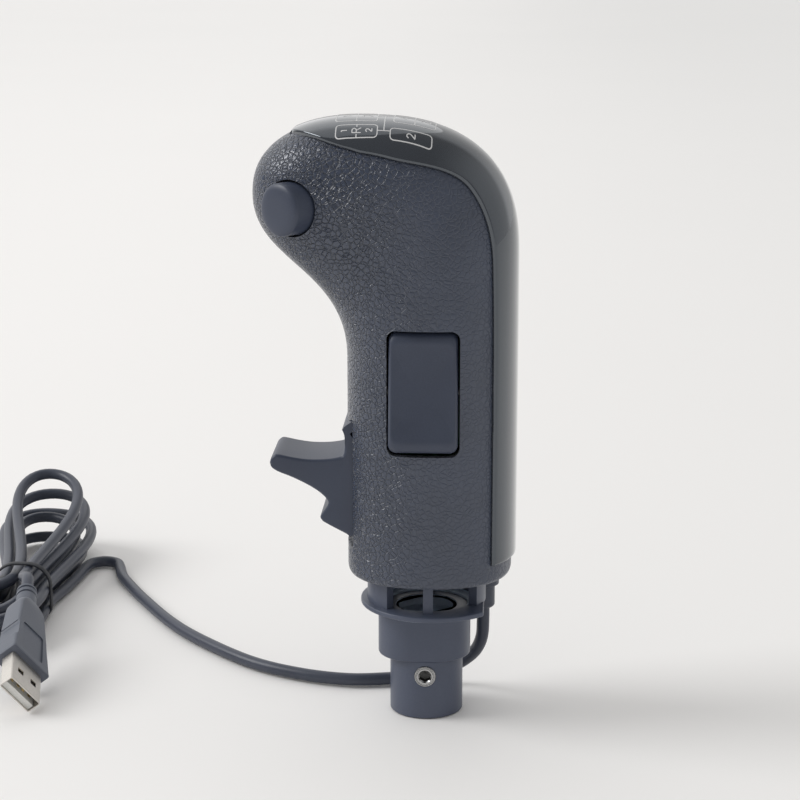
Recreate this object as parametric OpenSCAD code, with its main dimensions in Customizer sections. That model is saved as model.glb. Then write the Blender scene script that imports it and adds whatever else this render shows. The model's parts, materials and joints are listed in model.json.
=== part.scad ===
// Shift grip with a range lever, a splitter rocker, a thumb button and a USB lead.
// Millimetres. The shaft runs along Z, the nose and lever point to -X, the rocker faces -Y.

/* [Grip] */
// Height of the crown above the neck's lower face
total_h = 166; // [160:1:176]
// Front of the stem, ahead of the shaft's centre
stem_front = 21.6; // [21:0.2:24]
// Back of the stem with its cover, behind the shaft's centre
stem_back = 24.6; // [24:0.2:28]
// Width of the stem
stem_w = 43; // [42:0.5:48]
// Width of the head
head_w = 40; // [40:0.5:46]
// Reach of the nose ahead of the shaft's centre
nose_reach = 46.7; // [45:0.5:52]
// Wall of the shells
wall = 2.4; // [2.2:0.1:2.8]
// Thickness of the gloss cover
cover_t = 1.2; // [0.8:0.1:1.6]

/* [Base] */
// Height of the shells' lower rim
rim_z = 41; // [40:0.5:42]
// Radius of the shaft's bore
bore_r = 6.25; // [5:0.25:7]
// Depth of the shaft's bore
bore_depth = 24; // [20:1:25]
// Radius of the neck
neck_r = 10.1; // [9.5:0.1:11]
// Height of the neck
neck_h = 16.4; // [15:0.2:18]
// Radius of the flange
flange_r = 19.7; // [19:0.1:20.5]
// Radius of the set screw
set_screw_r = 3; // [2.5:0.5:3]

/* [Controls] */
// Width of the range lever
lever_w = 20; // [16:0.5:21]
// Travel of the range lever in degrees
lever_travel = 14; // [8:1:14]
// Width of the rocker's cap
rocker_w = 18.4; // [16:0.2:18.6]
// Height of the rocker's cap
rocker_h = 32.2; // [28:0.2:32.4]
// Half of the rocker's travel in degrees
rocker_tilt = 7; // [4:0.5:7]
// Radius of the thumb button
button_r = 7; // [6:0.1:7.4]
// Travel of the thumb button
button_travel = 1.5; // [1:0.1:1.5]
// Gap round the moving controls
play = 0.4; // [0.3:0.05:0.5]
// Radial room between a pin and its bore
pin_fit = 0.05; // [0.03:0.01:0.08]

/* [Lead] */
// Diameter of the lead
cord_d = 3.6; // [3.2:0.1:3.8]
// Width of the plug's overmould
plug_w = 15; // [14:0.5:17]
// Height of the plug's overmould
plug_h = 8; // [7:0.5:9]

/* [Hidden] */
$fn = 48;
cover_gap = 0.08;
shell_back = stem_back - cover_t - cover_gap;
shell_top = total_h - cover_t - cover_gap;
throat_z = total_h - 65;
shoulder_z = total_h - 37;
nose_z = total_h - 21;
crown_x = -17;
// A height above the rim as drawn for a stem of 60, in proportion to this stem
function stem_z(d) = rim_z + d * (throat_z - rim_z) / 60;
section_power = 2.3;
back_power = 2.45;
// Shares of the head's run at the shoulder, the crown and where the nose narrows
shoulder_t = 0.215;
crown_t = 0.69;
narrow_t = 0.55;
stem_rings = 3;
head_rings = 22;
last_ring = stem_rings + head_rings;
hollow_end = stem_rings + 16;
segs = 16;
cover_angle = 44;
cover_flare = 14;
cover_low = rim_z + 5.5;
cover_close = 0.66;
cover_end = 0.82;
// Base
plate_z = rim_z + 0.8;
plate_t = 2.4;
collar_half = 12.8;
collar_x = -0.6;
collar_top = 29.7;
flange_x = 1.5;
// Where the flange is cut off beside the lead
flange_cut = 16;
well_r = 11.5;
flange_low = 31.2;
flange_top = 32.6;
ring_r = 16.4;
ring_wall = 2.6;
lug_r = 18.3;
set_screw_z = 12.4;
relief_at = [15.6, 10.4];
relief_low = 26;
relief_lip = 3.7;
// Lever
lever_at = [-8, stem_z(25)];
lever_pin_r = 2;
drum_r = 22;
// Angles round the lever's pivot where its front plate ends and where the plate behind it ends
plate_end = 129.4;
drum_end = plate_end - lever_travel - 4.4;
slot_low = lever_at[1] - 16.4;
// Rocker
rocker_at = [-0.3, -16.5, stem_z(53.7)];
rocker_pin_r = 1.25;
cap_out = 6;
cap_t = 4.2;
window_w = rocker_w + 1;
window_h = rocker_h + 1.6;
cap_end = 3.2;
// Thumb button
button_at = [10.4 - nose_reach, -16, nose_z - 2.2];
button_gap = 0.6;
button_turn = -41;
button_seat = -4.6;
flange_t = 1.4;
tube_end = -11.5;
tube_r = 8.6;
board_t = 1.4;
board_top = tube_end + 0.3 + board_t;
// Board
board_face = -7.3;
board_low = stem_z(32);
board_high = throat_z + 18;
post_at = [[-4, board_high - 3], [9.5, board_high - 3], [9.5, board_low + 2.5]];
screw_at = [[7, stem_z(13), 18.7], [-14, stem_z(59), 12.2], [13, shoulder_z - 1, 14], [-8, nose_z + 5, 15]];
boss_r = 4.4;
seat_y = 6;
// Lead
cord_r = cord_d / 2;
hank_at = [-131, 70];
// Angle and run of the bend that takes the near loops aside
hank_bend = 42;
bend_run = 26;
hank_low = cord_r + 0.8;
layer_h = cord_d + 0.6;
waist = 8;
waist_step = 7;
hank_loops = 5;
loop_rings = 24;
plug_rear = [-121.2, 38.3, 18.9];
plug_dir = [0.165, -0.957, -0.237];
plug_roll = 38;

// Small helpers
function mix(a, b, t) = a + (b - a) * t;
function power(v, e) = sign(v) * pow(abs(v), e);
function unit(v) = v / norm(v);
function smooth(t) = let (c = min(1, max(0, t))) c * c * (3 - 2 * c);
function bezier(p, t) = pow(1 - t, 3) * p[0] + 3 * t * pow(1 - t, 2) * p[1]
  + 3 * t * t * (1 - t) * p[2] + pow(t, 3) * p[3];
function flat(lists) = [for (l = lists) for (v = l) v];

// Grip: its front and back edges in the XZ plane, and its half width, along the head from throat to nose
function front_edge(t) = bezier([[-stem_front, throat_z], [-stem_front, throat_z + 24],
  [-nose_reach, nose_z - 18.4], [-nose_reach, nose_z]], t);
function back_edge(t) =
  t < shoulder_t ? [shell_back, mix(throat_z, shoulder_z, t / shoulder_t)]
  : t < crown_t ? let (a = 90 * (t - shoulder_t) / (crown_t - shoulder_t))
      [crown_x + (shell_back - crown_x) * pow(cos(a), 2 / back_power),
       shoulder_z + (shell_top - shoulder_z) * pow(sin(a), 2 / back_power)]
  : let (a = 90 * (t - crown_t) / (1 - crown_t))
      [crown_x - (nose_reach + crown_x) * pow(sin(a), 2 / section_power),
       nose_z + (shell_top - nose_z) * pow(max(0, cos(a)), 2 / section_power)];
function half_width(t) = mix(stem_w, head_w, smooth(t / 0.4)) / 2
  * (t < narrow_t ? 1 : pow(sin(90 * (1 - t) / (1 - narrow_t)), 2 / section_power));

// One point of the grip: run is a ring number, angle 0 is the back and 180 the front, inset goes inwards
function ring_front(run) = run <= stem_rings ? [-stem_front, mix(rim_z, throat_z, run / stem_rings)]
  : front_edge((run - stem_rings) / head_rings);
function ring_back(run) = run <= stem_rings ? [shell_back, mix(rim_z, throat_z, run / stem_rings)]
  : back_edge((run - stem_rings) / head_rings);
function grip_point(run, angle, inset, side) =
  let (f = ring_front(run), b = ring_back(run), c = (f + b) / 2, a = norm(b - f) / 2, e = (b - f) / (2 * a))
  let (w = half_width(max(0, (run - stem_rings) / head_rings)) - inset)
  let (p = c + e * (a - inset) * power(cos(angle), 2 / section_power))
  [p[0], side * w * pow(max(0, sin(abs(angle))), 2 / section_power) * sign(angle + 0.001), p[1]];
function half_ring(run, inset, side) =
  [for (j = [0:segs]) j == 0 || j == segs
    ? let (p = grip_point(run, 180 * j / segs, inset, side)) [p[0], 0, p[2]]
    : grip_point(run, 180 * j / segs, inset, side)];

// Faces between rows of a grid whose first point is number first
function grid_faces(first, rows, cols, flip) = [for (i = [0:rows - 2], j = [0:cols - 2])
  let (a = first + i * cols + j, b = a + 1, c = a + cols, d = c + 1)
  each flip ? [[a, b, d], [a, d, c]] : [[a, d, b], [a, c, d]]];
// Faces between two chains of points
function strip_faces(p, q, flip) = [for (i = [0:len(p) - 2])
  each flip ? [[p[i], q[i], q[i + 1]], [p[i], q[i + 1], p[i + 1]]]
    : [[p[i], q[i + 1], q[i]], [p[i], p[i + 1], q[i + 1]]]];

// One half of the grip: outer skin, inner skin, seam faces and lower rim in one closed form
module half_grip(side) {
  cols = segs + 1;
  out_rows = last_ring;
  in_rows = hollow_end + 1;
  outer = flat([for (i = [0:out_rows - 1]) half_ring(i, 0, side)]);
  inner = flat([for (i = [0:in_rows - 1]) half_ring(i, wall, side)]);
  first_in = len(outer);
  tip = first_in + len(inner);
  f = side > 0;
  out_back = [for (i = [0:out_rows - 1]) i * cols];
  out_front = [for (i = [0:out_rows - 1]) i * cols + segs];
  in_back = [for (i = [0:in_rows - 1]) first_in + i * cols];
  in_front = [for (i = [0:in_rows - 1]) first_in + i * cols + segs];
  k = hollow_end;
  cap = [for (j = [1:segs - 1]) [in_back[k], in_back[k] + j, in_back[k] + j + 1]];
  end_fan = [for (j = [0:segs - 1]) [out_back[out_rows - 1] + j, out_back[out_rows - 1] + j + 1, tip]];
  closing = [[out_back[k], in_back[k], out_back[k + 1]], [in_back[k], in_front[k], out_back[k + 1]],
    [in_front[k], out_front[k + 1], out_back[k + 1]], [in_front[k], out_front[k], out_front[k + 1]]];
  nose_back = [for (i = [k + 1:out_rows - 1]) out_back[i]];
  nose_front = [for (i = [k + 1:out_rows - 1]) out_front[i]];
  tip_face = [[out_back[out_rows - 1], out_front[out_rows - 1], tip]];
  polyhedron(points = concat(outer, inner, [[-nose_reach, 0, nose_z]]), faces = concat(
    grid_faces(0, out_rows, cols, !f),
    grid_faces(first_in, in_rows, cols, f),
    [for (t = cap) f ? t : [t[2], t[1], t[0]]],
    [for (t = end_fan) f ? [t[2], t[1], t[0]] : t],
    strip_faces([for (i = [0:k]) out_back[i]], in_back, f),
    strip_faces([for (i = [0:k]) out_front[i]], in_front, !f),
    [for (t = closing) f ? t : [t[2], t[1], t[0]]],
    strip_faces(nose_back, nose_front, f),
    [for (t = tip_face) f ? t : [t[2], t[1], t[0]]],
    strip_faces([for (j = [0:segs]) j], [for (j = [0:segs]) first_in + j], !f)));
}

// A plate across the stem's lower end, let into the wall
module rim_plate(side) {
  translate([0, 0, plate_z]) linear_extrude(plate_t)
    polygon([for (p = half_ring(0, wall / 2, side)) [p[0], p[1]]]);
}

// A cylinder along Y from y0 to y1
module along_y(x, z, r, y0, y1) {
  translate([x, y0, z]) rotate([-90, 0, 0]) cylinder(r = r, h = y1 - y0);
}

// Places something on the thumb button's axis with +Z pointing out
module on_button() {
  translate(button_at) rotate([0, 0, button_turn]) rotate([90, 0, 0]) children();
}

// Cuts that both shells share: base, lever slot, cover pegs and lead
module common_cuts() {
  translate([0, 0, rim_z - 1]) cylinder(r = ring_r + 0.3, h = 8);
  intersection() {
    along_y(lever_at[0], lever_at[1], drum_r + play, -lever_w / 2 - play, lever_w / 2 + play);
    translate([-60, -20, slot_low]) cube([48, 40, 60]);
  }
  along_y(lever_at[0], lever_at[1], lever_pin_r, -16, 16);
  cover_pegs(0);
  translate([relief_at[0], relief_at[1], rim_z - 1]) cylinder(r = 3.25, h = 8);
  translate([relief_at[0], relief_at[1], plate_z + plate_t]) cylinder(r = relief_lip + 0.15, h = 2.3);
}

module left_shell() {
  color([0.07, 0.075, 0.09]) difference() {
    union() {
      half_grip(-1);
      rim_plate(-1);
      for (s = screw_at) along_y(s[0], s[1], boss_r, -s[2], 0);
      along_y(lever_at[0], lever_at[1], 3.6, -18.4, -lever_w / 2 - 0.6);
      for (p = post_at) along_y(p[0], p[1], 2.4, -18.6, board_face);
      for (x = [-11.9, 9.1]) translate([x, -18.6, rocker_at[2] - 3]) cube([2.2, 4.6, 6]);
      on_button() translate([0, 0, tube_end]) cylinder(r = 10.2, h = 9);
    }
    common_cuts();
    rocker_window();
    translate([-12, rocker_at[1], rocker_at[2]]) rotate([0, 90, 0]) cylinder(r = rocker_pin_r, h = 23.4);
    for (s = screw_at) along_y(s[0], s[1], 1.5, -8, 1);
    for (p = post_at) along_y(p[0], p[1], 1, -13, board_face + 1);
    on_button() {
      translate([0, 0, tube_end - 1]) cylinder(r = tube_r, h = button_seat - tube_end + 1);
      translate([0, 0, button_seat - 1]) cylinder(r = button_r + button_gap, h = 14);
    }
  }
}

// Opening for the rocker, with rounded corners
module rocker_window() {
  r = 2.4;
  translate([rocker_at[0], -15, rocker_at[2]]) rotate([90, 0, 0]) linear_extrude(12) union() {
    square([window_w - 2 * r, window_h], center = true);
    square([window_w, window_h - 2 * r], center = true);
    for (sx = [-1, 1], sz = [-1, 1])
      translate([sx * (window_w / 2 - r), sz * (window_h / 2 - r)]) circle(r = r);
  }
}

module right_shell() {
  color([0.07, 0.075, 0.09]) difference() {
    union() {
      half_grip(1);
      rim_plate(1);
      for (s = screw_at) along_y(s[0], s[1], boss_r, 0, s[2]);
      along_y(lever_at[0], lever_at[1], 3.6, lever_w / 2 + 0.6, 18.4);
      for (x = [1.5, 8.5]) along_y(x, lever_at[1] + 7.5, 1.2, 0.5, 20);
      translate([15.5, 0, lever_at[1] - 1]) rotate([0, 90, 0]) cylinder(r = 1.4, h = 6.2);
    }
    common_cuts();
    for (s = screw_at) {
      along_y(s[0], s[1], 1.7, -1, seat_y + 1);
      along_y(s[0], s[1], 3.1, seat_y, 30);
    }
    translate([14, -4, lever_at[1] - 4]) cube([10, 4, 6]);
  }
}

// Pegs of the cover that sit in the seam of the shells
module cover_pegs(extra) {
  for (z = [stem_z(21), throat_z + 7]) translate([shell_back - wall - 1, 0, z]) rotate([0, 90, 0])
    cylinder(r = 1.2, h = wall + 1 + extra);
  translate([crown_x, 0, shell_top - wall - 1]) cylinder(r = 1.2, h = wall + 1 + extra);
}

// Half angle of the cover's band at a ring: even up the back, wider over the crown, closing on the nose
function band_angle(t) = (cover_angle + cover_flare * smooth((t - 0.4) / 0.2))
  * sqrt(max(0.03, 1 - pow(max(0, (t - cover_close) / (cover_end - cover_close)), 1.3)));

// A band over the back and crown: the shells' own surface, moved outwards
module back_cover() {
  n = 12;
  low = stem_rings * (cover_low - rim_z) / (throat_z - rim_z);
  runs = concat([low], [for (i = [1:stem_rings]) i],
    [for (i = [1:21]) stem_rings + head_rings * cover_end * i / 21]);
  function band(inset) = flat([for (r = runs) let (m = band_angle(max(0, (r - stem_rings) / head_rings)))
    [for (j = [-n / 2:n / 2]) grip_point(r, m * 2 * j / n, inset, 1)]]);
  cols = n + 1;
  rows = len(runs);
  total = rows * cols;
  edge = concat([for (i = [0:rows - 1]) i * cols], [for (j = [1:n]) (rows - 1) * cols + j],
    [for (i = [1:rows - 1]) (rows - 1 - i) * cols + n], [for (j = [1:n]) n - j]);
  color([0.01, 0.01, 0.012]) union() {
    polyhedron(points = concat(band(-cover_gap - cover_t), band(-cover_gap)), faces = concat(
      grid_faces(0, rows, cols, false), grid_faces(total, rows, cols, true),
      strip_faces(edge, [for (v = edge) v + total], true)));
    cover_pegs(cover_gap + cover_t / 2);
  }
}

// Neck, collar, flange and windowed ring that join the grip to the shaft
module base_plug() {
  color([0.06, 0.065, 0.08]) difference() {
    union() {
      cylinder(r = neck_r, h = neck_h);
      translate([0, 0, neck_h]) linear_extrude(collar_top - neck_h) union() {
        for (sx = [-1, 1]) translate([collar_x + sx * (collar_half - neck_r), 0]) circle(r = neck_r);
        translate([collar_x, 0]) square([2 * (collar_half - neck_r), 2 * neck_r], center = true);
      }
      translate([0, 0, collar_top]) cylinder(r = ring_r - 1.4, h = flange_low - collar_top);
      translate([0, 0, flange_low]) linear_extrude(flange_top - flange_low) intersection() {
        translate([flange_x, 0]) circle(r = flange_r);
        translate([flange_cut - 60, -30]) square([60, 60]);
      }
      translate([0, 0, flange_top]) cylinder(r = ring_r, h = plate_z + plate_t + 0.3 - flange_top);
      translate([0, 0, rim_z]) cylinder(r = lug_r, h = plate_z - rim_z);
      translate([0, 0, plate_z + plate_t + 0.05]) intersection() {
        cylinder(r = lug_r, h = 2.8);
        translate([-7, -20, 0]) cube([14, 40, 2.8]);
      }
    }
    translate([0, 0, -1]) cylinder(r = bore_r, h = bore_depth + 1);
    translate([0, 0, bore_depth + 3]) cylinder(r = neck_r - 1.5, h = 20);
    translate([0, 0, collar_top + 0.4]) cylinder(r = well_r, h = 20);
    translate([0, 0, flange_low - 0.3]) cylinder(r = ring_r - ring_wall, h = 20);
    ring_windows();
    translate([0, 0, set_screw_z]) rotate([90, 0, 0]) cylinder(r = set_screw_r + 0.02, h = 20);
    translate([relief_at[0], relief_at[1], collar_top - 1]) cylinder(r = 4.8, h = 30);
    translate([-30, -20, rim_z]) cube([14, 40, 20]);
  }
}

// Openings in the ring wall, with one rib left in front
module ring_windows() {
  for (side = [-1, 1])
    translate([0, 0, flange_top + 0.2]) linear_extrude(rim_z - flange_top - 1) difference() {
      polygon([[0, 0], [-30 * cos(51), side * 30 * sin(51)], [0, side * 40],
        [30 * cos(31), side * 30 * sin(31)]]);
      translate([1, 0]) square([2.7, 80], center = true);
    }
}

module set_screw() {
  color([0.75, 0.75, 0.78]) translate([0, -neck_r - 0.2, set_screw_z]) rotate([-90, 0, 0]) difference() {
    cylinder(r = set_screw_r, h = 3.8);
    translate([0, 0, -1]) cylinder(r = 1.73, h = 3.2, $fn = 6);
  }
}

module shell_screws() {
  color([0.5, 0.5, 0.52]) for (s = screw_at) union() {
    along_y(s[0], s[1], 1.5, -7, seat_y);
    difference() {
      along_y(s[0], s[1], 2.8, seat_y, seat_y + 2);
      translate([s[0] - 0.4, seat_y + 1, s[1] - 2]) cube([0.8, 2, 4]);
      translate([s[0] - 2, seat_y + 1, s[1] - 0.4]) cube([4, 2, 0.8]);
    }
  }
}

// Arm, root plate, hub and tail of the range lever, drawn from the side
module range_lever() {
  arc = [for (i = [0:4]) let (a = mix(plate_end, drum_end, i / 4)) drum_r * [cos(a), sin(a)]];
  back = [for (i = [0:4]) let (a = mix(drum_end, plate_end, i / 4))
    (drum_r - 2.4) * [cos(a), sin(a)]];
  arm = [[-33.9, 7.9], [-33.2, 8.7], [-32, 9.1], [-28.4, 8.4], [-24.9, 7.9], [-21.6, 7.8], [-18.4, 8],
    [-15.6, 8.5], [-14.2, 9.2], [-13.8, 12], [-13.9, 14.6], [-14.5, 16.3]];
  inside = [[-9, 10], [-1, 5], [-1, -5], [-9, -13.4]];
  under = [[-12.7, -13.5], [-18.9, -10.2], [-20.2, -9.2], [-20.5, -7.9], [-18.6, -5], [-18.7, -3.5],
    [-21, -1.2], [-24.6, 1], [-28.6, 2.9], [-31.9, 4.2], [-33.7, 5.4], [-34.2, 6.8]];
  tail = [[0, -4.8], [12, -3], [13, -2.4], [13, 0], [12, 0.4], [0, 4.8]];
  side = concat(arm, arc, back, inside, under);
  color([0.08, 0.085, 0.1]) difference() {
    union() {
      along_side(lever_w) translate(lever_at) polygon(side);
      along_y(lever_at[0], lever_at[1], 5, -lever_w / 2, lever_w / 2);
      along_side(6) translate(lever_at) polygon(tail);
    }
    along_y(lever_at[0], lever_at[1], lever_pin_r + pin_fit, -20, 20);
  }
}

// Gives a drawing in X and Z a thickness along Y
module along_side(w) {
  translate([0, w / 2, 0]) rotate([90, 0, 0]) linear_extrude(w) children();
}

module lever_pin() {
  color([0.6, 0.6, 0.62]) along_y(lever_at[0], lever_at[1], lever_pin_r, -15.9, 15.9);
}

// Coil that pushes the lever's tail up or down past its middle
module toggle_spring() {
  n = 5;
  color([0.6, 0.6, 0.62]) tube([for (i = [0:8 * n])
    [5.8 + 13.4 * i / (8 * n), 1.8 * cos(45 * i), lever_at[1] - 1 + 1.8 * sin(45 * i)]],
    0.4, 6, [1, 0.2, 0.1]);
}

module range_switch() {
  color([0.1, 0.1, 0.1]) difference() {
    union() {
      translate([-1, 0.6, lever_at[1] + 4.6]) cube([12, 6, 6]);
      translate([2.5, 2, lever_at[1] + 3.6]) cube([2.5, 2, 1.2]);
    }
    for (x = [1.5, 8.5]) along_y(x, lever_at[1] + 7.5, 1.2, 0, 18);
  }
}

// Dished cap with a hub, tilted so that its upper end is in
module splitter_rocker() {
  dish = pow(rocker_h / 2, 2) / 2.6;
  low = -rocker_h / 2 + cap_end;
  ends = [for (a = [0:15:90]) [-cap_out + cap_end - cap_end * sin(a), low - cap_end * cos(a)]];
  side = concat([[cap_t - cap_out, -rocker_h / 2]], ends, [for (i = [0:6]) [ends[6 - i][0], -ends[6 - i][1]]],
    [[cap_t - cap_out, rocker_h / 2]]);
  color([0.09, 0.095, 0.11]) translate(rocker_at) rotate([-rocker_tilt, 0, 0]) difference() {
    union() {
      intersection() {
        translate([-rocker_w / 2, 0, 0]) rotate([90, 0, 90]) linear_extrude(rocker_w) polygon(side);
        rotate([90, 0, 0]) rounded_bar(rocker_w, rocker_h, 2.2, 12);
      }
      translate([-8, 0, 0]) rotate([0, 90, 0]) cylinder(r = 2.7, h = 16);
    }
    translate([-20, -cap_out - dish + 1.2, 0]) rotate([0, 90, 0]) cylinder(r = dish, h = 40, $fn = 96);
    translate([-20, 0, 0]) rotate([0, 90, 0]) cylinder(r = rocker_pin_r + pin_fit, h = 40);
  }
}

module rocker_pin() {
  color([0.6, 0.6, 0.62]) translate([-12, rocker_at[1], rocker_at[2]]) rotate([0, 90, 0])
    cylinder(r = rocker_pin_r, h = 23.4);
}

module rocker_switches() {
  color([0.1, 0.1, 0.1]) for (z = [-9.5, 9.5]) translate([0, board_face, rocker_at[2] + z]) union() {
    translate([-3, -3.5, -3]) cube([6, 3.5, 6]);
    rotate([90, 0, 0]) cylinder(r = 1.7, h = 8.6);
  }
}

// Domed cap with a flange that the tube keeps in
module thumb_button() {
  r = button_r;
  dome = [for (a = [0:15:90]) [r * pow(cos(a), 0.5), 1.9 + 1.5 * pow(sin(a), 0.9)]];
  color([0.09, 0.095, 0.11]) on_button() rotate_extrude() polygon(concat(
    [[0, -2], [5, -2], [5, button_seat - flange_t - 0.2], [tube_r - 0.3, button_seat - flange_t - 0.2],
    [tube_r - 0.3, button_seat - 0.2], [r, button_seat - 0.2]], dome));
}

module button_spring() {
  low = board_top + 0.36;
  high = button_seat - flange_t - 0.7;
  color([0.6, 0.6, 0.62]) on_button() tube([for (i = [0:24])
    [6.6 * cos(45 * i), 6.6 * sin(45 * i), mix(low, high, i / 24)]], 0.4, 6, [0.1, 0.2, 1]);
}

module button_board() {
  color([0.05, 0.25, 0.1]) on_button() translate([0, 0, tube_end + 0.3]) cylinder(r = tube_r, h = board_t);
}

module button_switch() {
  color([0.1, 0.1, 0.1]) on_button() translate([0, 0, board_top]) union() {
    translate([-3, -3, 0]) cube([6, 6, 3.4]);
    cylinder(r = 1.7, h = -2.4 - button_travel - board_top);
  }
}

module main_board() {
  color([0.05, 0.25, 0.1]) difference() {
    translate([-7, board_face, board_low]) cube([19, 1.6, board_high - board_low]);
    for (p = post_at) along_y(p[0], p[1], 1.1, -20, 0);
  }
}

module controller_chip() {
  color([0.05, 0.05, 0.05]) translate([-2, board_face + 1.6, stem_z(56)]) cube([7, 1, 7]);
}

module cord_header() {
  color([0.85, 0.85, 0.8]) translate([5, board_face + 1.6, board_low + 8]) cube([7, 5, 6]);
}

module board_screws() {
  color([0.6, 0.6, 0.62]) for (p = post_at) union() {
    along_y(p[0], p[1], 1, -12, board_face + 1.6);
    along_y(p[0], p[1], 2, board_face + 1.6, board_face + 3);
  }
}

// A tube of even radius along a row of points, square at both ends
module tube(path, r, sides, ref) {
  n = len(path);
  function way(i) = unit(path[min(n - 1, i + 1)] - path[max(0, i - 1)]);
  rings = flat([for (i = [0:n - 1]) let (t = way(i), u = unit(cross(t, ref)), v = cross(t, u))
    [for (j = [0:sides - 1]) path[i] + r * (u * cos(360 * j / sides) + v * sin(360 * j / sides))]]);
  sides_f = [for (i = [0:n - 2], j = [0:sides - 1])
    let (a = i * sides + j, b = i * sides + (j + 1) % sides, c = a + sides, d = b + sides)
    each [[a, d, b], [a, c, d]]];
  low = [for (j = [1:sides - 2]) [0, j, j + 1]];
  top = (n - 1) * sides;
  high = [for (j = [1:sides - 2]) [top, top + j + 1, top + j]];
  polyhedron(points = rings, faces = concat(sides_f, low, high));
}

// A smooth row of points through the given ones, with three steps from each to the next
function through(p, steps = 3) = let (n = len(p)) concat([for (i = [0:n - 2], k = [0:steps - 1])
  let (a = p[max(0, i - 1)], b = p[i], c = p[i + 1], d = p[min(n - 1, i + 2)], t = k / steps)
  0.5 * (2 * b + (c - a) * t + (2 * a - 5 * b + 4 * c - d) * t * t + (3 * b - 3 * c + d - a) * t * t * t)],
  [p[n - 1]]);

// Stepped sleeve that holds the lead under the grip
module strain_relief() {
  color([0.03, 0.03, 0.035]) translate([relief_at[0], relief_at[1], 0]) difference() {
    union() {
      translate([0, 0, relief_low]) cylinder(r = 3.25, h = plate_z + plate_t + 2 - relief_low);
      translate([0, 0, flange_top + 0.4]) cylinder(r = 4.4, h = rim_z - flange_top - 0.4);
      translate([0, 0, plate_z + plate_t]) cylinder(r = relief_lip, h = 2);
    }
    translate([0, 0, relief_low - 1]) cylinder(r = cord_r, h = 9);
    translate([0, 0, plate_z + plate_t - 2]) cylinder(r = 1.4, h = 9);
  }
}

module inner_lead() {
  p = [[relief_at[0], relief_at[1], plate_z + plate_t - 1.5], [relief_at[0], relief_at[1], 48],
    [16.6, 10, stem_z(13)], [17.4, 7.6, stem_z(20)], [17.4, 5.4, stem_z(27)], [16.9, 1.2, board_low + 3],
    [15.4, -2.6, board_low + 9], [13, -3.2, board_low + 11], [12, -3.2, board_low + 11]];
  color([0.03, 0.03, 0.035]) tube(through(p, 2), 1.4, 8, [0.6, 0.6, -0.53]);
}

// Free lead: down from the sleeve, behind the neck and out to the hank
floor_z = cord_r + 0.15;
run_points = [[relief_at[0], relief_at[1], relief_low + 6], [relief_at[0], relief_at[1], 22],
  [15.3, 11.4, 17], [13.9, 13.4, 12.6], [11.2, 15.6, 8.9], [7, 17.3, 5.6], [1.5, 17.7, 3.2],
  [-4.5, 16.9, floor_z + 0.2], [-11, 15.8, floor_z], [-23, 14.4, floor_z], [-37.5, 18.2, floor_z],
  [-53, 27.4, floor_z], [-70.5, 45.6, floor_z], [-82, 61.4, floor_z], [-93.5, 82, floor_z],
  [-99.5, 94, floor_z], [-104.4, 105, floor_z], [-107.2, 115, floor_z], [-109, 119.4, floor_z],
  [-112.9, 121.2, floor_z], [-116.7, 119.4, floor_z], [-118.4, 115, floor_z], [-119.5, 104, floor_z],
  [-121, 92, floor_z], [-122.6, 81, floor_z + 0.4], on_hank(waist, 4, hank_low),
  on_hank(waist, 0, hank_low)];

module cord_run() {
  color([0.03, 0.03, 0.035]) tube(through(run_points), cord_r, 8, [0.6, 0.6, 0.53]);
}

// A point given across and along the hank from its waist
function on_hank(x, y, z) = [hank_at[0] + x, hank_at[1] + y, z];

// The same on the near side, where the hank bends aside
function on_bend(x, d, z) =
  let (r = bend_run * 180 / PI / hank_bend, a = min(hank_bend, hank_bend * d / bend_run))
  let (rest = max(0, d - bend_run))
  on_hank(x * cos(a) - r * (1 - cos(a)) - rest * sin(a), -x * sin(a) - r * sin(a) - rest * cos(a), z);

// Centre line of the hank: loops that spiral in and out in four layers, drawn in at the waist, and that fan
// out and rise towards their far ends
hank_fan = [-6, -7, -4, -5];
function hank_point(s) =
  let (m = s - 3 * floor(s / 3), ring = m < 1.5 ? m / 1.5 : 2 - m / 1.5, a = 360 * s)
  let (far = sin(a) < 0, reach = (far ? 80 : 40) - waist_step * ring)
  let (bulge = ((far ? 27 : 23) - 6 * ring) * pow(abs(sin(a)), far ? 1.8 : 1.5))
  let (across = cos(a) * (waist - waist_step * ring + bulge))
  let (layer = smooth((s - 1.25) * 2) + smooth((s - 2.75) * 2) + smooth((s - 4.25) * 2))
  let (fan = lookup(layer, [for (i = [0:3]) [i, hank_fan[i]]]) * pow(sin(a), 2))
  far ? on_hank(across + fan, -reach * sin(a), hank_low + layer * layer_h * (1 + 0.85 * pow(sin(a), 2)))
    : on_bend(across, reach * sin(a), hank_low + layer * layer_h);

hank_path = [for (i = [0:hank_loops * loop_rings]) hank_point(i / loop_rings)];

// Least distance between parts of the hank that are not next to each other, less one diameter
hank_gap = min([for (i = [0:len(hank_path) - 1], j = [i + 8:1:len(hank_path) - 1])
  norm(hank_path[i] - hank_path[j])]) - cord_d;
echo(hank_gap = hank_gap);

module cord_hank() {
  color([0.03, 0.03, 0.035]) tube(hank_path, cord_r, 6, [0.1, 0.2, 1]);
}

// From the top of the hank over its near loops to the plug
tail_z = hank_low + 3 * layer_h;
tail_x = waist - waist_step * 2 / 3;
tail_points = [on_hank(tail_x, 0, tail_z), on_hank(tail_x, -4, tail_z), [-126.8, 59.5, tail_z + 1.4],
  [-124.6, 51.5, tail_z + 3.6], plug_rear - 7 * plug_dir, plug_rear, plug_rear + 4 * plug_dir];

module cord_tail() {
  color([0.03, 0.03, 0.035]) tube(through(tail_points), cord_r, 8, [0.1, 0.2, 1]);
}

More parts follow.
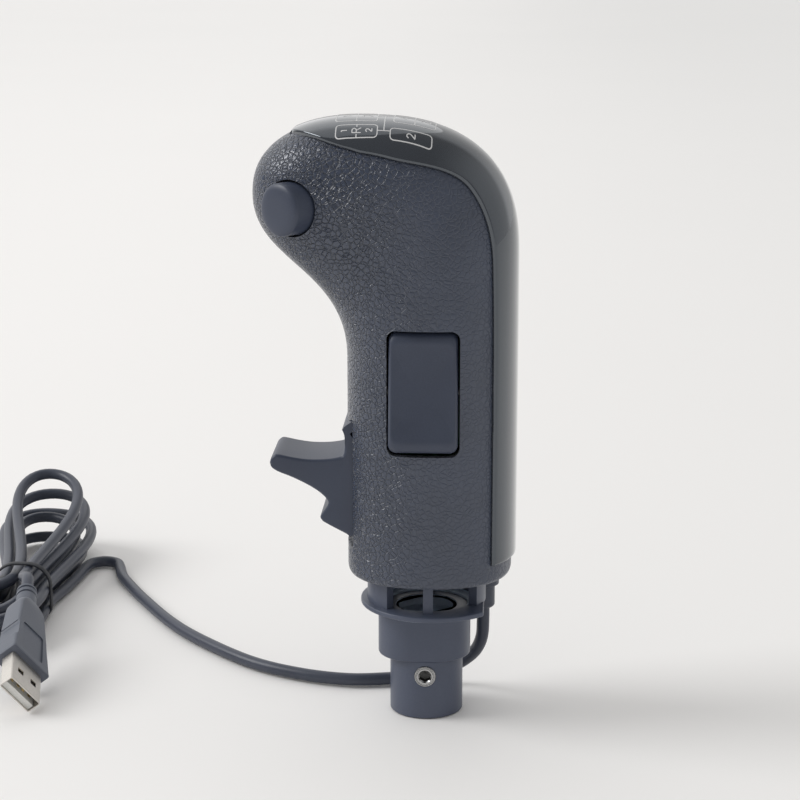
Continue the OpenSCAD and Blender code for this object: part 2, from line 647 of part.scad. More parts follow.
// Outline of the hank's waist, round over the top
module waist_outline(grow) {
  low_r = 2.5;
  top_r = 6.9;
  left = -waist + waist_step / 3 - cord_r;
  right = waist + cord_r;
  shoulder = 3 * layer_h + cord_d - top_r;
  translate([left + low_r, -grow]) square([right - left - 2 * low_r, low_r + grow]);
  translate([left - grow, low_r]) square([right - left + 2 * grow, shoulder - low_r]);
  translate([left + top_r, shoulder]) square([right - left - 2 * top_r, top_r + grow]);
  for (x = [left + low_r, right - low_r]) translate([x, low_r]) circle(r = low_r + grow);
  for (x = [left + top_r, right - top_r]) translate([x, shoulder]) circle(r = top_r + grow);
}

// Flat band round the waist of the hank
module cord_tie() {
  color([0.03, 0.03, 0.03]) translate([hank_at[0], hank_at[1], hank_low - cord_r]) rotate([90, 0, 0])
    linear_extrude(3, center = true) difference() {
      waist_outline(0.7);
      waist_outline(0);
    }
}

// Places something on the plug's axis with +Z towards its tip and its flat sides rolled half upright
module on_plug() {
  translate(plug_rear) rotate([0, acos(plug_dir[2]), atan2(plug_dir[1], plug_dir[0])])
    rotate([0, 0, plug_roll]) children();
}

// A flat bar with rounded edges, along Z
module rounded_bar(w, h, r, len) {
  linear_extrude(len) union() {
    square([w - 2 * r, h], center = true);
    square([w, h - 2 * r], center = true);
    for (sx = [-1, 1], sy = [-1, 1]) translate([sx * (w / 2 - r), sy * (h / 2 - r)]) circle(r = r);
  }
}

module plug_overmould() {
  color([0.03, 0.03, 0.035]) on_plug() difference() {
    union() {
      cylinder(r = 3.1, h = 6);
      translate([0, 0, 5]) cylinder(r = 3.7, h = 4.5);
      translate([0, 0, 9]) rounded_bar(plug_w, plug_h, 2, 32);
    }
    translate([0, 0, -1]) cylinder(r = cord_r, h = 5);
    translate([0, 0, 36]) cube([12, 4.5, 12], center = true);
  }
}

// Folded metal tube with two square windows on each flat side
module plug_shell() {
  color([0.75, 0.76, 0.78]) on_plug() translate([0, 0, 30]) difference() {
    translate([-6, -2.25, 0]) cube([12, 4.5, 24]);
    translate([-5.7, -1.95, 1]) cube([11.4, 3.9, 30]);
    for (sx = [-1, 1]) translate([sx * 2.6 - 1.1, -5, 16.5]) cube([2.2, 10, 2.2]);
  }
}

module plug_tongue() {
  color([0.8, 0.8, 0.78]) on_plug() translate([-5.7, 0.1, 31]) cube([11.4, 1.85, 21.5]);
}

module plug_contacts() {
  color([0.8, 0.6, 0.2]) on_plug() for (x = [-3.5, -1, 1, 3.5])
    translate([x - 0.5, -0.15, 34]) cube([1, 0.25, 17]);
}

left_shell();
right_shell();
back_cover();
base_plug();
set_screw();
shell_screws();
range_lever();
lever_pin();
toggle_spring();
range_switch();
splitter_rocker();
rocker_pin();
rocker_switches();
thumb_button();
button_spring();
button_switch();
button_board();
main_board();
controller_chip();
cord_header();
board_screws();
inner_lead();
strain_relief();
cord_run();
cord_hank();
cord_tail();
cord_tie();
plug_overmould();
plug_shell();
plug_tongue();
plug_contacts();
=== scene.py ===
"""Looks of the shift grip: camera, lead, grip, controls, base, plug, light and materials.

Lengths of forms are in millimetres in the part's own frame; add_mesh() turns them into metres.
Lengths in materials, and those of the camera and the stage, are in metres.
"""

import json

import bpy
import numpy as np
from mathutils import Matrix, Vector


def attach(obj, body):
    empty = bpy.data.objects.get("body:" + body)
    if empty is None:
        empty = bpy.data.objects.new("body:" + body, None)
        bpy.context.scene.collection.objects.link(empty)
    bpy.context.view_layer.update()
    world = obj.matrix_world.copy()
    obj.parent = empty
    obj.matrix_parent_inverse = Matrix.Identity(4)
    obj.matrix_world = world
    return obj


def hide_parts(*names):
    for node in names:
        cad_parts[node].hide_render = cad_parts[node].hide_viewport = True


MM = 0.001
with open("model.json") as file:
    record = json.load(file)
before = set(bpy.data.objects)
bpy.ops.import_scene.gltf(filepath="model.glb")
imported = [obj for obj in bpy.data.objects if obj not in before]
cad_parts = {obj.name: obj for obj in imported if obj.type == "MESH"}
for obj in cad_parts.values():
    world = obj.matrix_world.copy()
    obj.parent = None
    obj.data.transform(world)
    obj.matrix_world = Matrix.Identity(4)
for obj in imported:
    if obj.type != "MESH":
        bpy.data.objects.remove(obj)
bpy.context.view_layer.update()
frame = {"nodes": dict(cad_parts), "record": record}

# Driving sizes in millimetres and degrees; a name in _T is a place up the grip, -1 its rim and 1 its nose
TOTAL_H = 166.0
STEM_FRONT = 21.6
STEM_BACK = 24.6
STEM_W = 43.0
HEAD_W = 40.0
NOSE_REACH = 46.7
WALL = 2.4
COVER_THICK = 1.2
COVER_GAP = 0.08
RIM_Z = 41.0
RIM_ROUND = 2.0
THROAT_Z = 101.0
SHOULDER_Z = 129.0
CROWN_X = -17.0
SECTION_POWER = 2.3
BACK_POWER = 2.45
SHOULDER_T = 0.215
CROWN_T = 0.69
NARROW_T = 0.55
SOLID_T = 16 / 22
NECK_R = 10.1
NECK_H = 16.4
BORE_R = 6.25
BORE_DEPTH = 24.0
COLLAR_HALF = 12.8
COLLAR_X = -0.6
COLLAR_TOP = 29.7
FLANGE_R = 19.7
FLANGE_X = 1.5
FLANGE_CUT = 16.0
WELL_R = 11.5
FLANGE_LOW = 31.2
FLANGE_TOP = 32.6
RING_R = 16.4
RING_WALL = 2.6
SET_SCREW_Z = 12.4
RELIEF_AT = np.array([15.6, 10.4, 0.0])
RELIEF_LOW = 26.0
LEVER_AT = np.array([-8.0, 66.0])
LEVER_W = 20.0
DRUM_R = 22.0
ROCKER_AT = np.array([-0.3, -16.5, 94.7])
ROCKER_W = 18.4
ROCKER_H = 32.2
ROCKER_TILT = -7.0
BUTTON_AT = np.array([-36.3, -16.0, 142.8])
BUTTON_TURN = -41.0
BUTTON_R = 7.0
BUTTON_GAP = 0.6
PLAY = 0.4
CORD_R = 1.8
HANK_AT = np.array([-131.0, 70.0])
HANK_BEND = 42.0
BEND_RUN = 26.0
HANK_LOW = CORD_R + 0.8
LAYER_H = 2 * CORD_R + 0.6
WAIST = 8.0
WAIST_STEP = 7.0
HANK_LOOPS = 5
FAR_REACH = 80.0
NEAR_REACH = 40.0
FAR_BULGE = 27.0
NEAR_BULGE = 23.0
BULGE_STEP = 6.0
LAYER_FAN = (-6, -7, -4, -5)
FAN_RISE = 0.85
PLUG_REAR = np.array([-121.2, 38.3, 18.9])
PLUG_DIR = np.array([0.165, -0.957, -0.237])
PLUG_ROLL = 38.0
PLUG_W = 15.0
PLUG_H = 8.0
PLUG_FRONT = 41.0
MOUTH_W = 12.0
MOUTH_H = 4.5
MOUTH_WALL = 0.3
MOUTH_FRONT = 54.0
SHELL_BACK = STEM_BACK - COVER_THICK - COVER_GAP
SHELL_TOP = TOTAL_H - COVER_THICK - COVER_GAP
NOSE_Z = TOTAL_H - 21.0


# Small helpers
def lerp(a, b, t):
    return a + (b - a) * t


def smooth(t):
    c = np.clip(t, 0.0, 1.0)
    return c * c * (3.0 - 2.0 * c)


def power(v, e):
    return np.sign(v) * np.abs(v) ** e


def unit(v):
    return v / np.linalg.norm(v, axis=-1, keepdims=True)


def cosd(a):
    return np.cos(np.radians(a))


def sind(a):
    return np.sin(np.radians(a))


def polar(r, a):
    """Points at radius r and angle a about the origin, as (x, y) pairs."""
    return np.stack([r * cosd(a), r * sind(a)], 1)


def through(points, steps):
    """A smooth row of points through the given ones: a Catmull-Rom curve with that many steps to a span."""
    p = np.asarray(points, float)
    a = np.concatenate([p[:1], p[:-2]])[:, None]
    b = p[:-1, None]
    c = p[1:, None]
    d = np.concatenate([p[2:], p[-1:]])[:, None]
    t = (np.arange(steps) / steps)[None, :, None]
    line = 2 * b + (c - a) * t + (2 * a - 5 * b + 4 * c - d) * t ** 2 + (3 * b - 3 * c + d - a) * t ** 3
    return np.concatenate([0.5 * line.reshape(-1, p.shape[1]), p[-1:]])


# Mesh forms
def grid_faces(rows, cols, wrap=False, first=0):
    """Quads between neighbouring rows of a grid of points; wrap joins the last column to the first."""
    i, j = np.meshgrid(np.arange(rows - 1), np.arange(cols if wrap else cols - 1), indexing="ij")
    k = (j + 1) % cols
    quads = np.stack([i * cols + j, i * cols + k, (i + 1) * cols + k, (i + 1) * cols + j], -1)
    return (quads.reshape(-1, 4) + first).tolist()


def outward(points, faces):
    """Turns every face over when the volume that they close comes out below zero."""
    fans = [(f[0], f[i], f[i + 1]) for f in faces for i in range(1, len(f) - 1)]
    a, b, c = np.moveaxis(points[np.array(fans)], 1, 0)
    if np.sum(a * np.cross(b, c)) < 0:
        return [f[::-1] for f in faces]
    return faces


def join(*forms):
    """Several closed forms as one list of points and one of faces."""
    points, faces, first = [], [], 0
    for p, f in forms:
        points.append(p)
        faces += [[v + first for v in face] for face in outward(p, f)]
        first += len(p)
    return np.concatenate(points), faces


def add_mesh(name, form):
    """A new object in metres from a form in millimetres."""
    points, faces = join(form)
    mesh = bpy.data.meshes.new(name)
    mesh.from_pydata((points * MM).tolist(), [], faces)
    obj = bpy.data.objects.new(name, mesh)
    bpy.context.scene.collection.objects.link(obj)
    return obj


def shade(obj, angle):
    """Smooth shading, with sharp edges where faces meet at more than the angle."""
    obj.data.shade_smooth()
    obj.data.set_sharp_from_angle(angle=np.radians(angle))


def make(name, form, material, body, nodes, angle=38):
    """A piece that rides on a body and stands for the named nodes of the frame."""
    obj = add_mesh(name, form)
    obj.data.materials.append(material)
    shade(obj, angle)
    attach(obj, body)
    if nodes:
        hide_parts(*nodes)
    return obj


def loft(rows):
    """A closed form through rows of points: equal loops one after another, flat at both ends."""
    rows = np.asarray(rows, float)
    n, m = rows.shape[:2]
    faces = grid_faces(n, m, wrap=True)
    faces.append(list(range(m))[::-1])
    faces.append(list(range((n - 1) * m, n * m)))
    return rows.reshape(-1, 3), faces


def hoop(rows):
    """A closed form like a tyre: equal loops one after another, and the last meets the first."""
    rows = np.asarray(rows, float)
    n, m = rows.shape[:2]
    faces = grid_faces(n + 1, m, wrap=True)
    return rows.reshape(-1, 3), [[v % (n * m) for v in f] for f in faces]


def turned(profile, sides=64, closed=False):
    """A profile of (radius, height) pairs turned about Z; closed joins its last point to its first."""
    p = np.asarray(profile, float)
    a = np.linspace(0, 360, sides, endpoint=False)
    rows = np.stack([p[:, :1] * cosd(a), p[:, :1] * sind(a), np.repeat(p[:, 1:], sides, 1)], -1)
    return hoop(rows) if closed else loft(rows)


def rounded(profile, r, steps=4):
    """Rounds every inner corner of a profile with an arc-like curve of reach r."""
    p = np.asarray(profile, float)
    before = unit(p[:-2] - p[1:-1])
    after = unit(p[2:] - p[1:-1])
    length = np.linalg.norm(np.diff(p, axis=0), axis=1)
    room = np.minimum(length[:-1], length[1:])
    reach = np.minimum(r, 0.45 * room)[:, None, None]
    t = np.linspace(0, 1, steps + 1)[None, :, None]
    corner = p[1:-1, None]
    curve = corner + reach * (before[:, None] * (1 - t) ** 2 + after[:, None] * t ** 2)
    return np.concatenate([p[:1], curve.reshape(-1, p.shape[1]), p[-1:]])


def rounded_box(w, h, r, steps=6):
    """Outline of a rectangle with round corners, centred, as (x, y) pairs."""
    a = np.linspace(0, 90, steps + 1)
    corners = []
    for turn, sx, sy in ((0, 1, 1), (90, -1, 1), (180, -1, -1), (270, 1, -1)):
        corners.append(polar(r, a + turn) + [sx * (w / 2 - r), sy * (h / 2 - r)])
    return np.concatenate(corners)


def at_height(outline, z):
    return np.concatenate([outline, np.full((len(outline), 1), z)], 1)


def rounded_ends(z0, z1, r, count):
    """Pairs of inset and height up a side from z0 to z1 whose ends are rounded by r, count to an end."""
    a = np.linspace(0, 90, count)
    low = [(r * (1 - sind(v)), z0 + r * (1 - cosd(v))) for v in a]
    high = [(r * (1 - cosd(v)), z1 - r * (1 - sind(v))) for v in a]
    return low + high


def moved(form, axes, origin):
    """A form carried into a frame whose three axes are the rows of axes."""
    points, faces = form
    return points @ np.asarray(axes, float) + np.asarray(origin, float), faces


def tube(path, r, sides):
    """A round tube along a path: each ring stands square to it, and starts from one fixed direction."""
    p = np.asarray(path, float)
    t = unit(np.gradient(p, axis=0))
    u = unit(np.cross(t, [0.6, 0.6, 0.53]))
    v = np.cross(t, u)
    a = np.linspace(0, 360, sides, endpoint=False)[None, :, None]
    return loft(p[:, None] + r * (u[:, None] * cosd(a) + v[:, None] * sind(a)))


def cut(obj, forms):
    """Takes closed forms out of an object's mesh for good."""
    tools = []
    for form in forms:
        tool = add_mesh("tool", form)
        step = obj.modifiers.new("cut", "BOOLEAN")
        step.operation = "DIFFERENCE"
        step.solver = "EXACT"
        step.object = tool
        tools.append(tool)
    view = bpy.context.evaluated_depsgraph_get()
    result = bpy.data.meshes.new_from_object(obj.evaluated_get(view))
    obj.modifiers.clear()
    obj.data = result
    for tool in tools:
        bpy.data.objects.remove(tool)


# Materials
class Socket:
    """One output of a node; arithmetic on it adds nodes to the same material."""

    def __init__(self, tree, out):
        self.tree = tree
        self.out = out

    def node(self, kind, inputs, output=0, **settings):
        """Adds any node; inputs maps a socket's name or number to a value or to another Socket."""
        new = self.tree.nodes.new(kind)
        for key, value in settings.items():
            setattr(new, key, value)
        for key, value in inputs.items():
            if isinstance(value, Socket):
                self.tree.links.new(value.out, new.inputs[key])
            else:
                new.inputs[key].default_value = value
        return Socket(self.tree, new.outputs[output])

    def math(self, operation, *others):
        values = dict(enumerate((self,) + others))
        return self.node("ShaderNodeMath", values, operation=operation)

    def __add__(self, other):
        return self.math("ADD", other)

    __radd__ = __add__

    def __mul__(self, other):
        return self.math("MULTIPLY", other)

    def __sub__(self, other):
        return self.math("SUBTRACT", other)

    def __rsub__(self, other):
        return self * -1.0 + other

    def step(self, low, high):
        """A smooth step from 0 at low to 1 at high."""
        values = {"Value": self, "From Min": low, "From Max": high}
        return self.node("ShaderNodeMapRange", values, interpolation_type="SMOOTHSTEP")

    def axis(self, number):
        """One part of a place: 0 is its X, 1 its Y and 2 its Z."""
        return self.node("ShaderNodeSeparateXYZ", {0: self}, output=number)

    def blend(self, dark, light):
        """A colour between two, by this value."""
        values = {"Factor": self, 6: (*dark, 1.0), 7: (*light, 1.0)}
        return self.node("ShaderNodeMix", values, output=2, data_type="RGBA")


class Look:
    """A material with one shader, and the coordinates of the object to build its detail from."""

    def __init__(self, name, metallic=0.0, specular=0.5, coat=0.0):
        self.material = bpy.data.materials.new(name)
        self.material.use_nodes = True
        self.tree = self.material.node_tree
        self.shader = self.tree.nodes["Principled BSDF"]
        self.shader.inputs["Metallic"].default_value = metallic
        self.shader.inputs["Specular IOR Level"].default_value = specular
        self.shader.inputs["Coat Weight"].default_value = coat
        where = self.tree.nodes.new("ShaderNodeTexCoord")
        self.place = Socket(self.tree, where.outputs["Object"])

    def noise(self, scale, detail=2.0, rough=0.5):
        """Cloudy noise with features of about 1 / scale metres."""
        values = {"Vector": self.place, "Scale": scale, "Detail": detail, "Roughness": rough}
        return self.place.node("ShaderNodeTexNoise", values)

    def feed(self, name, socket):
        self.tree.links.new(socket.out, self.shader.inputs[name])

    def bump(self, height, depth):
        values = {"Height": height, "Distance": depth, "Strength": 1.0}
        self.feed("Normal", height.node("ShaderNodeBump", values))


def plain_look(name, dark, light, rough, grain, depth, metallic=0.0, specular=0.5):
    """A moulded or drawn surface: cloudy tone, uneven roughness and a fine even grain."""
    look = Look(name, metallic, specular)
    cloud = look.noise(60.0, 3.0)
    fine = look.noise(grain, 2.0, 0.6)
    look.feed("Base Color", (cloud * 0.6 + fine * 0.4).step(0.3, 0.7).blend(dark, light))
    look.feed("Roughness", rough + (cloud - 0.5) * 0.12 + (fine - 0.5) * 0.1)
    look.bump(fine, depth)
    return look.material


def cell_edge(spot, scale):
    """Distance from the edge of the nearest cell, with cells of about 1 / scale metres."""
    values = {"Vector": spot, "Scale": scale}
    return spot.node("ShaderNodeTexVoronoi", values, feature="DISTANCE_TO_EDGE")


def leather_look(name):
    """Plastic with a leather grain of warped cells in two sizes, sharp at the front and softer behind it,
    with painted shade in its creases.
    """
    look = Look(name, specular=0.85)
    values = {"Vector": look.place, "Scale": 420.0, "Detail": 2.0}
    warp = look.place.node("ShaderNodeTexNoise", values, output=1)
    shift = warp.node("ShaderNodeVectorMath", {0: warp, 1: (0.0011, 0.0011, 0.0011)}, operation="MULTIPLY")
    spot = shift.node("ShaderNodeVectorMath", {0: shift, 1: look.place}, operation="ADD")
    edge = cell_edge(spot, 720.0)
    small = cell_edge(spot, 1300.0)
    pebble = edge.step(0.0, 0.15) * 0.88 + edge.step(0.0, 0.5) * 0.12
    cloud = look.noise(45.0, 3.0)
    fine = look.noise(4200.0, 2.0)
    # sharp is strongest at the front: it sharpens the grain's bump and deepens the painted shade in the
    # creases
    sharp = 1.0 - look.place.axis(0).step(-0.022, 0.004) * 0.72
    # Painted shade: the base colour darkens in the creases between cells, most at the front
    tone = cloud.step(0.3, 0.7) * 0.4 + 0.6 - (1.0 - pebble) * sharp * 0.6
    look.feed("Base Color", tone.blend((0.018, 0.025, 0.044), (0.035, 0.047, 0.08)))
    look.feed("Roughness", 0.5 - pebble * 0.12 - sharp * 0.16 + (cloud - 0.5) * 0.1)
    look.shader.inputs["Sheen Weight"].default_value = 0.12
    look.shader.inputs["Sheen Roughness"].default_value = 0.4
    look.bump((pebble + small.step(0.0, 0.2) * 0.1 + fine * 0.03) * sharp, 0.00032)
    return look.material


def gloss_look(name):
    """Polished black plastic with faint wipe marks."""
    look = Look(name, specular=1.0, coat=0.8)
    look.shader.inputs["Specular Tint"].default_value = (0.8, 0.9, 1.0, 1.0)
    wipe = look.noise(35.0, 4.0, 0.6)
    fine = look.noise(900.0, 2.0)
    look.feed("Base Color", wipe.blend((0.011, 0.013, 0.018), (0.018, 0.021, 0.028)))
    look.feed("Roughness", 0.05 + wipe * 0.05)
    look.bump(fine * 0.3 + wipe, 0.00001)
    return look.material


LEATHER = leather_look("shell_leather_grain")
GLOSS = gloss_look("cover_gloss")
SATIN = plain_look("control_satin", (0.034, 0.043, 0.07), (0.043, 0.054, 0.086), 0.42, 2600.0, 0.00002)
BASE = plain_look("base_satin", (0.058, 0.07, 0.106), (0.07, 0.083, 0.122), 0.38, 1900.0, 0.00002)
RUBBER = plain_look("lead_rubber", (0.038, 0.045, 0.066), (0.051, 0.059, 0.084), 0.4, 2200.0, 0.00003)
TIE = plain_look("tie_plastic", (0.01, 0.012, 0.017), (0.018, 0.021, 0.028), 0.5, 1700.0, 0.00002,
                 specular=0.3)
PRINT = plain_look("print_white", (0.5, 0.5, 0.5), (0.62, 0.62, 0.62), 0.5, 3000.0, 0.00001)
STEEL = plain_look("screw_steel", (0.4, 0.4, 0.4), (0.56, 0.56, 0.56), 0.26, 1500.0, 0.00002, metallic=1.0)
# Painted shade: steel darkened for the set screw's socket, a recess, and for the rocker's pin in the gap
# round the cap
SHADED_STEEL = plain_look("steel_painted_shade", (0.13, 0.13, 0.128), (0.18, 0.18, 0.176), 0.5, 1500.0, 0.00002,
                        metallic=1.0)
MOULD = plain_look("plug_rubber", (0.085, 0.096, 0.125), (0.103, 0.116, 0.148), 0.45, 2200.0, 0.00003)
NICKEL = plain_look("plug_nickel", (0.54, 0.515, 0.48), (0.66, 0.63, 0.59), 0.4, 1400.0, 0.00001,
                    metallic=1.0)
GOLD = plain_look("contact_gold", (0.7, 0.5, 0.2), (0.85, 0.65, 0.3), 0.28, 1600.0, 0.00001, metallic=1.0)
PALE = plain_look("pale_plastic", (0.6, 0.6, 0.57), (0.75, 0.75, 0.72), 0.45, 1500.0, 0.00002)
BOARD = plain_look("board_mask", (0.012, 0.07, 0.03), (0.02, 0.11, 0.05), 0.35, 900.0, 0.00003)
# Painted light: a much paler colour than the base for the surfaces inside it, standing in for light that
# reaches them
INNER = plain_look("inner_painted_light", (0.4, 0.47, 0.56), (0.48, 0.55, 0.64), 0.55, 1500.0, 0.00002)
BLACK = plain_look("inner_black", (0.015, 0.015, 0.016), (0.028, 0.028, 0.03), 0.5, 1500.0, 0.00003)


# Camera, fitted to the photo: its place is in metres
CAMERA_AT = (0.02306, -0.5815, 0.22809)
CAMERA_TURN = 3.0
CAMERA_PITCH = 13.5
CAMERA_LENS = 99.0


def add_camera():
    data = bpy.data.cameras.new("camera")
    data.lens = CAMERA_LENS
    data.sensor_width = 36.0
    data.dof.use_dof = False
    data.clip_start = 0.01
    data.clip_end = 50.0
    camera = bpy.data.objects.new("camera", data)
    level = cosd(CAMERA_PITCH)
    ahead = Vector((-sind(CAMERA_TURN) * level, cosd(CAMERA_TURN) * level, -sind(CAMERA_PITCH)))
    camera.location = CAMERA_AT
    camera.rotation_mode = "QUATERNION"
    camera.rotation_quaternion = ahead.to_track_quat("-Z", "Y")
    bpy.context.scene.collection.objects.link(camera)
    bpy.context.scene.camera = camera


add_camera()


# Lead: free run, hank and tail in one unbroken line
def on_hank(x, y, z):
    """A point given across and along the hank from its waist."""
    return np.array([HANK_AT[0] + x, HANK_AT[1] + y, z + 0 * x])


def on_bend(x, d, z):
    """The same on the near side, where the hank bends aside: an arc, then straight on."""
    r = BEND_RUN / np.radians(HANK_BEND)
    a = np.minimum(HANK_BEND, HANK_BEND * d / BEND_RUN)
    rest = np.maximum(0, d - BEND_RUN)
    aside = x * cosd(a) - r * (1 - cosd(a)) - rest * sind(a)
    return on_hank(aside, -x * sind(a) - r * sind(a) - rest * cosd(a), z)


def hank_line(steps):
    """Loops that spiral in and out in four layers, drawn in at the waist and fanned out at their far ends."""
    s = np.linspace(0, HANK_LOOPS, HANK_LOOPS * steps + 1)
    m = s % 3
    ring = np.where(m < 1.5, m / 1.5, 2 - m / 1.5)
    a = 360 * s
    far = sind(a) < 0
    out = sind(a) ** 2
    reach = np.where(far, FAR_REACH, NEAR_REACH) - WAIST_STEP * ring
    bulge = np.where(far, FAR_BULGE, NEAR_BULGE) - BULGE_STEP * ring
    bulge = bulge * np.abs(sind(a)) ** np.where(far, 1.8, 1.5)
    across = cosd(a) * (WAIST - WAIST_STEP * ring + bulge)
    layer = smooth((s - 1.25) * 2) + smooth((s - 2.75) * 2) + smooth((s - 4.25) * 2)
    fan = np.interp(layer, np.arange(4), LAYER_FAN) * out
    far_line = on_hank(across + fan, -reach * sind(a), HANK_LOW + layer * LAYER_H * (1 + FAN_RISE * out))
    near_line = on_bend(across, reach * sind(a), HANK_LOW + layer * LAYER_H)
    return np.where(far, far_line, near_line).T


def run_line(steps):
    """Down from the strain relief, across the floor, round a fold and into the hank."""
    low = CORD_R + 0.15
    x, y = RELIEF_AT[:2]
    points = [(x, y, RELIEF_LOW + 6), (x, y, 22), (15.3, 11.4, 17), (13.9, 13.4, 12.6), (11.2, 15.6, 8.9),
              (7, 17.3, 5.6), (1.5, 17.7, 3.2), (-4.5, 16.9, low + 0.2)]
    flat = [(-11, 15.8), (-23, 14.4), (-37.5, 18.2), (-53, 27.4), (-70.5, 45.6), (-82, 61.4), (-93.5, 82),
            (-99.5, 94), (-104.4, 105), (-107.2, 115), (-109, 119.4), (-112.9, 121.2), (-116.7, 119.4),
            (-118.4, 115), (-119.5, 104), (-121, 92)]
    points += [(px, py, low) for px, py in flat]
    points += [(-122.6, 81, low + 0.4), on_hank(WAIST, 4, HANK_LOW), on_hank(WAIST, 0, HANK_LOW)]
    return through(points, steps)


def tail_line(steps):
    """From the hank's top layer into the rear of the plug."""
    top = HANK_LOW + 3 * LAYER_H
    x = WAIST - WAIST_STEP * 2 / 3
    points = [on_hank(x, 0, top), on_hank(x, -4, top), (-126.8, 59.5, top + 1.4), (-124.6, 51.5, top + 3.6),
              PLUG_REAR - 7 * PLUG_DIR, PLUG_REAR, PLUG_REAR + 4 * PLUG_DIR]
    return through(points, steps)


def add_lead():
    path = np.concatenate([run_line(10)[:-1], hank_line(96)[:-1], tail_line(8)])
    nodes = ["cord_run", "cord_hank", "cord_tail"]
    lead = make("lead", tube(path, CORD_R, 16), RUBBER, "grip", nodes)
    length = np.linalg.norm(np.diff(path, axis=0), axis=1).sum()
    return lead, path, length


# Grip: its edges in the XZ plane and its half width
def front_edge(t):
    """A cubic curve from the throat to the tip of the nose, below it a straight line."""
    p = np.array([[-STEM_FRONT, THROAT_Z], [-STEM_FRONT, THROAT_Z + 24], [-NOSE_REACH, NOSE_Z - 18.4],
                  [-NOSE_REACH, NOSE_Z]])
    h = np.clip(t, 0, 1)[..., None]
    head = (1 - h) ** 3 * p[0] + 3 * h * (1 - h) ** 2 * p[1] + 3 * h * h * (1 - h) * p[2] + h ** 3 * p[3]
    stem = np.stack([np.full_like(t, -STEM_FRONT), lerp(THROAT_Z, RIM_Z, -t)], -1)
    return np.where((t < 0)[..., None], stem, head)


def back_edge(t):
    """A straight back, a rounded shoulder to the crown and a rounded fall to the tip of the nose."""
    up = np.clip((t - SHOULDER_T) / (CROWN_T - SHOULDER_T), 0, 1) * 90
    down = np.clip((t - CROWN_T) / (1 - CROWN_T), 0, 1) * 90
    line_z = np.where(t < 0, lerp(THROAT_Z, RIM_Z, -t), lerp(THROAT_Z, SHOULDER_Z, t / SHOULDER_T))
    line = np.stack([np.full_like(t, SHELL_BACK), line_z], -1)
    e = 2 / BACK_POWER
    rise = np.stack([CROWN_X + (SHELL_BACK - CROWN_X) * np.abs(cosd(up)) ** e,
                     SHOULDER_Z + (SHELL_TOP - SHOULDER_Z) * sind(up) ** e], -1)
    e = 2 / SECTION_POWER
    fall = np.stack([CROWN_X - (NOSE_REACH + CROWN_X) * sind(down) ** e,
                     NOSE_Z + (SHELL_TOP - NOSE_Z) * np.abs(cosd(down)) ** e], -1)
    return np.where((t < SHOULDER_T)[..., None], line, np.where((t < CROWN_T)[..., None], rise, fall))


def half_width(t):
    """Half the grip's width: a little narrower at the head, and closing at the tip of the nose."""
    w = lerp(STEM_W, HEAD_W, smooth(t / 0.4)) / 2
    share = np.clip((1 - t) / (1 - NARROW_T), 0, 1)
    return w * sind(90 * share) ** (2 / SECTION_POWER)


def grip(t, angle, inset):
    """A point of the grip: a flattened ring, with the back edge at angle 0 and the front edge at 180."""
    f, b = front_edge(t), back_edge(t)
    a = np.linalg.norm(b - f, axis=-1) / 2
    along = (b - f) / np.maximum(2 * a, 1e-6)[..., None]
    mid = (f + b) / 2 + along * ((a - inset) * power(cosd(angle), 2 / SECTION_POWER))[..., None]
    side = (half_width(t) - inset) * power(sind(angle), 2 / SECTION_POWER)
    return np.stack([mid[..., 0], side, mid[..., 1]], -1)


def half_shell(side, segs=56):
    """One half of the grip, closed: two skins, seam faces, a rounded lower rim and a solid nose."""
    a = np.linspace(0, 90, 7)
    low = RIM_ROUND * (1 - cosd(a)) / (THROAT_Z - RIM_Z) - 1
    t = np.concatenate([low[:-1], np.linspace(low[-1], 0, 16), np.linspace(0, 1, 101)[1:-1]])
    inset = np.zeros(len(t))
    inset[:7] = 0.6 * RIM_ROUND * (1 - sind(a))
    last = int(np.searchsorted(t, SOLID_T))
    n = len(t)
    cols = segs + 1
    angle = np.linspace(0, 180, cols) * side
    outer = grip(*np.broadcast_arrays(t[:, None], angle[None, :], inset[:, None]))
    inner = grip(*np.broadcast_arrays(t[:last + 1, None], angle[None, :]), WALL)
    outer[:, [0, -1], 1] = 0
    inner[:, [0, -1], 1] = 0
    first = n * cols
    tip = first + (last + 1) * cols
    out_back = np.arange(n) * cols
    out_front = out_back + segs
    in_back = first + np.arange(last + 1) * cols
    in_front = in_back + segs
    faces = [f[::-1] for f in grid_faces(n, cols)]
    faces += grid_faces(last + 1, cols, first=first)
    faces += np.stack([out_back[:last], in_back[:-1], in_back[1:], out_back[1:last + 1]], -1).tolist()
    faces += np.stack([out_front[:last], out_front[1:last + 1], in_front[1:], in_front[:-1]], -1).tolist()
    faces.append((in_back[last] + np.arange(cols)).tolist())
    up = last + 1
    faces.append([out_back[last], in_back[last], in_front[last], out_front[last], out_front[up],
                  out_back[up]])
    faces += np.stack([out_back[up:-1], out_front[up:-1], out_front[up + 1:], out_back[up + 1:]], -1).tolist()
    faces.append([out_back[-1], out_front[-1], tip])
    j = np.arange(segs)
    faces += np.stack([np.full(segs, tip), out_back[-1] + j + 1, out_back[-1] + j], -1).tolist()
    faces += np.stack([j, j + 1, first + j + 1, first + j], -1).tolist()
    points = np.concatenate([outer.reshape(-1, 3), inner.reshape(-1, 3), [[-NOSE_REACH, 0, NOSE_Z]]])
    return points, [[int(v) for v in f] for f in faces]


def rod(a, b, r, sides=48):
    """A plain cylinder from point a to point b."""
    a, b = np.asarray(a, float), np.asarray(b, float)
    w = unit(b - a)
    u = unit(np.cross(w, [0.31, 0.57, 0.76]))
    return moved(turned([(r, 0), (r, np.linalg.norm(b - a))], sides), [u, np.cross(w, u), w], a)


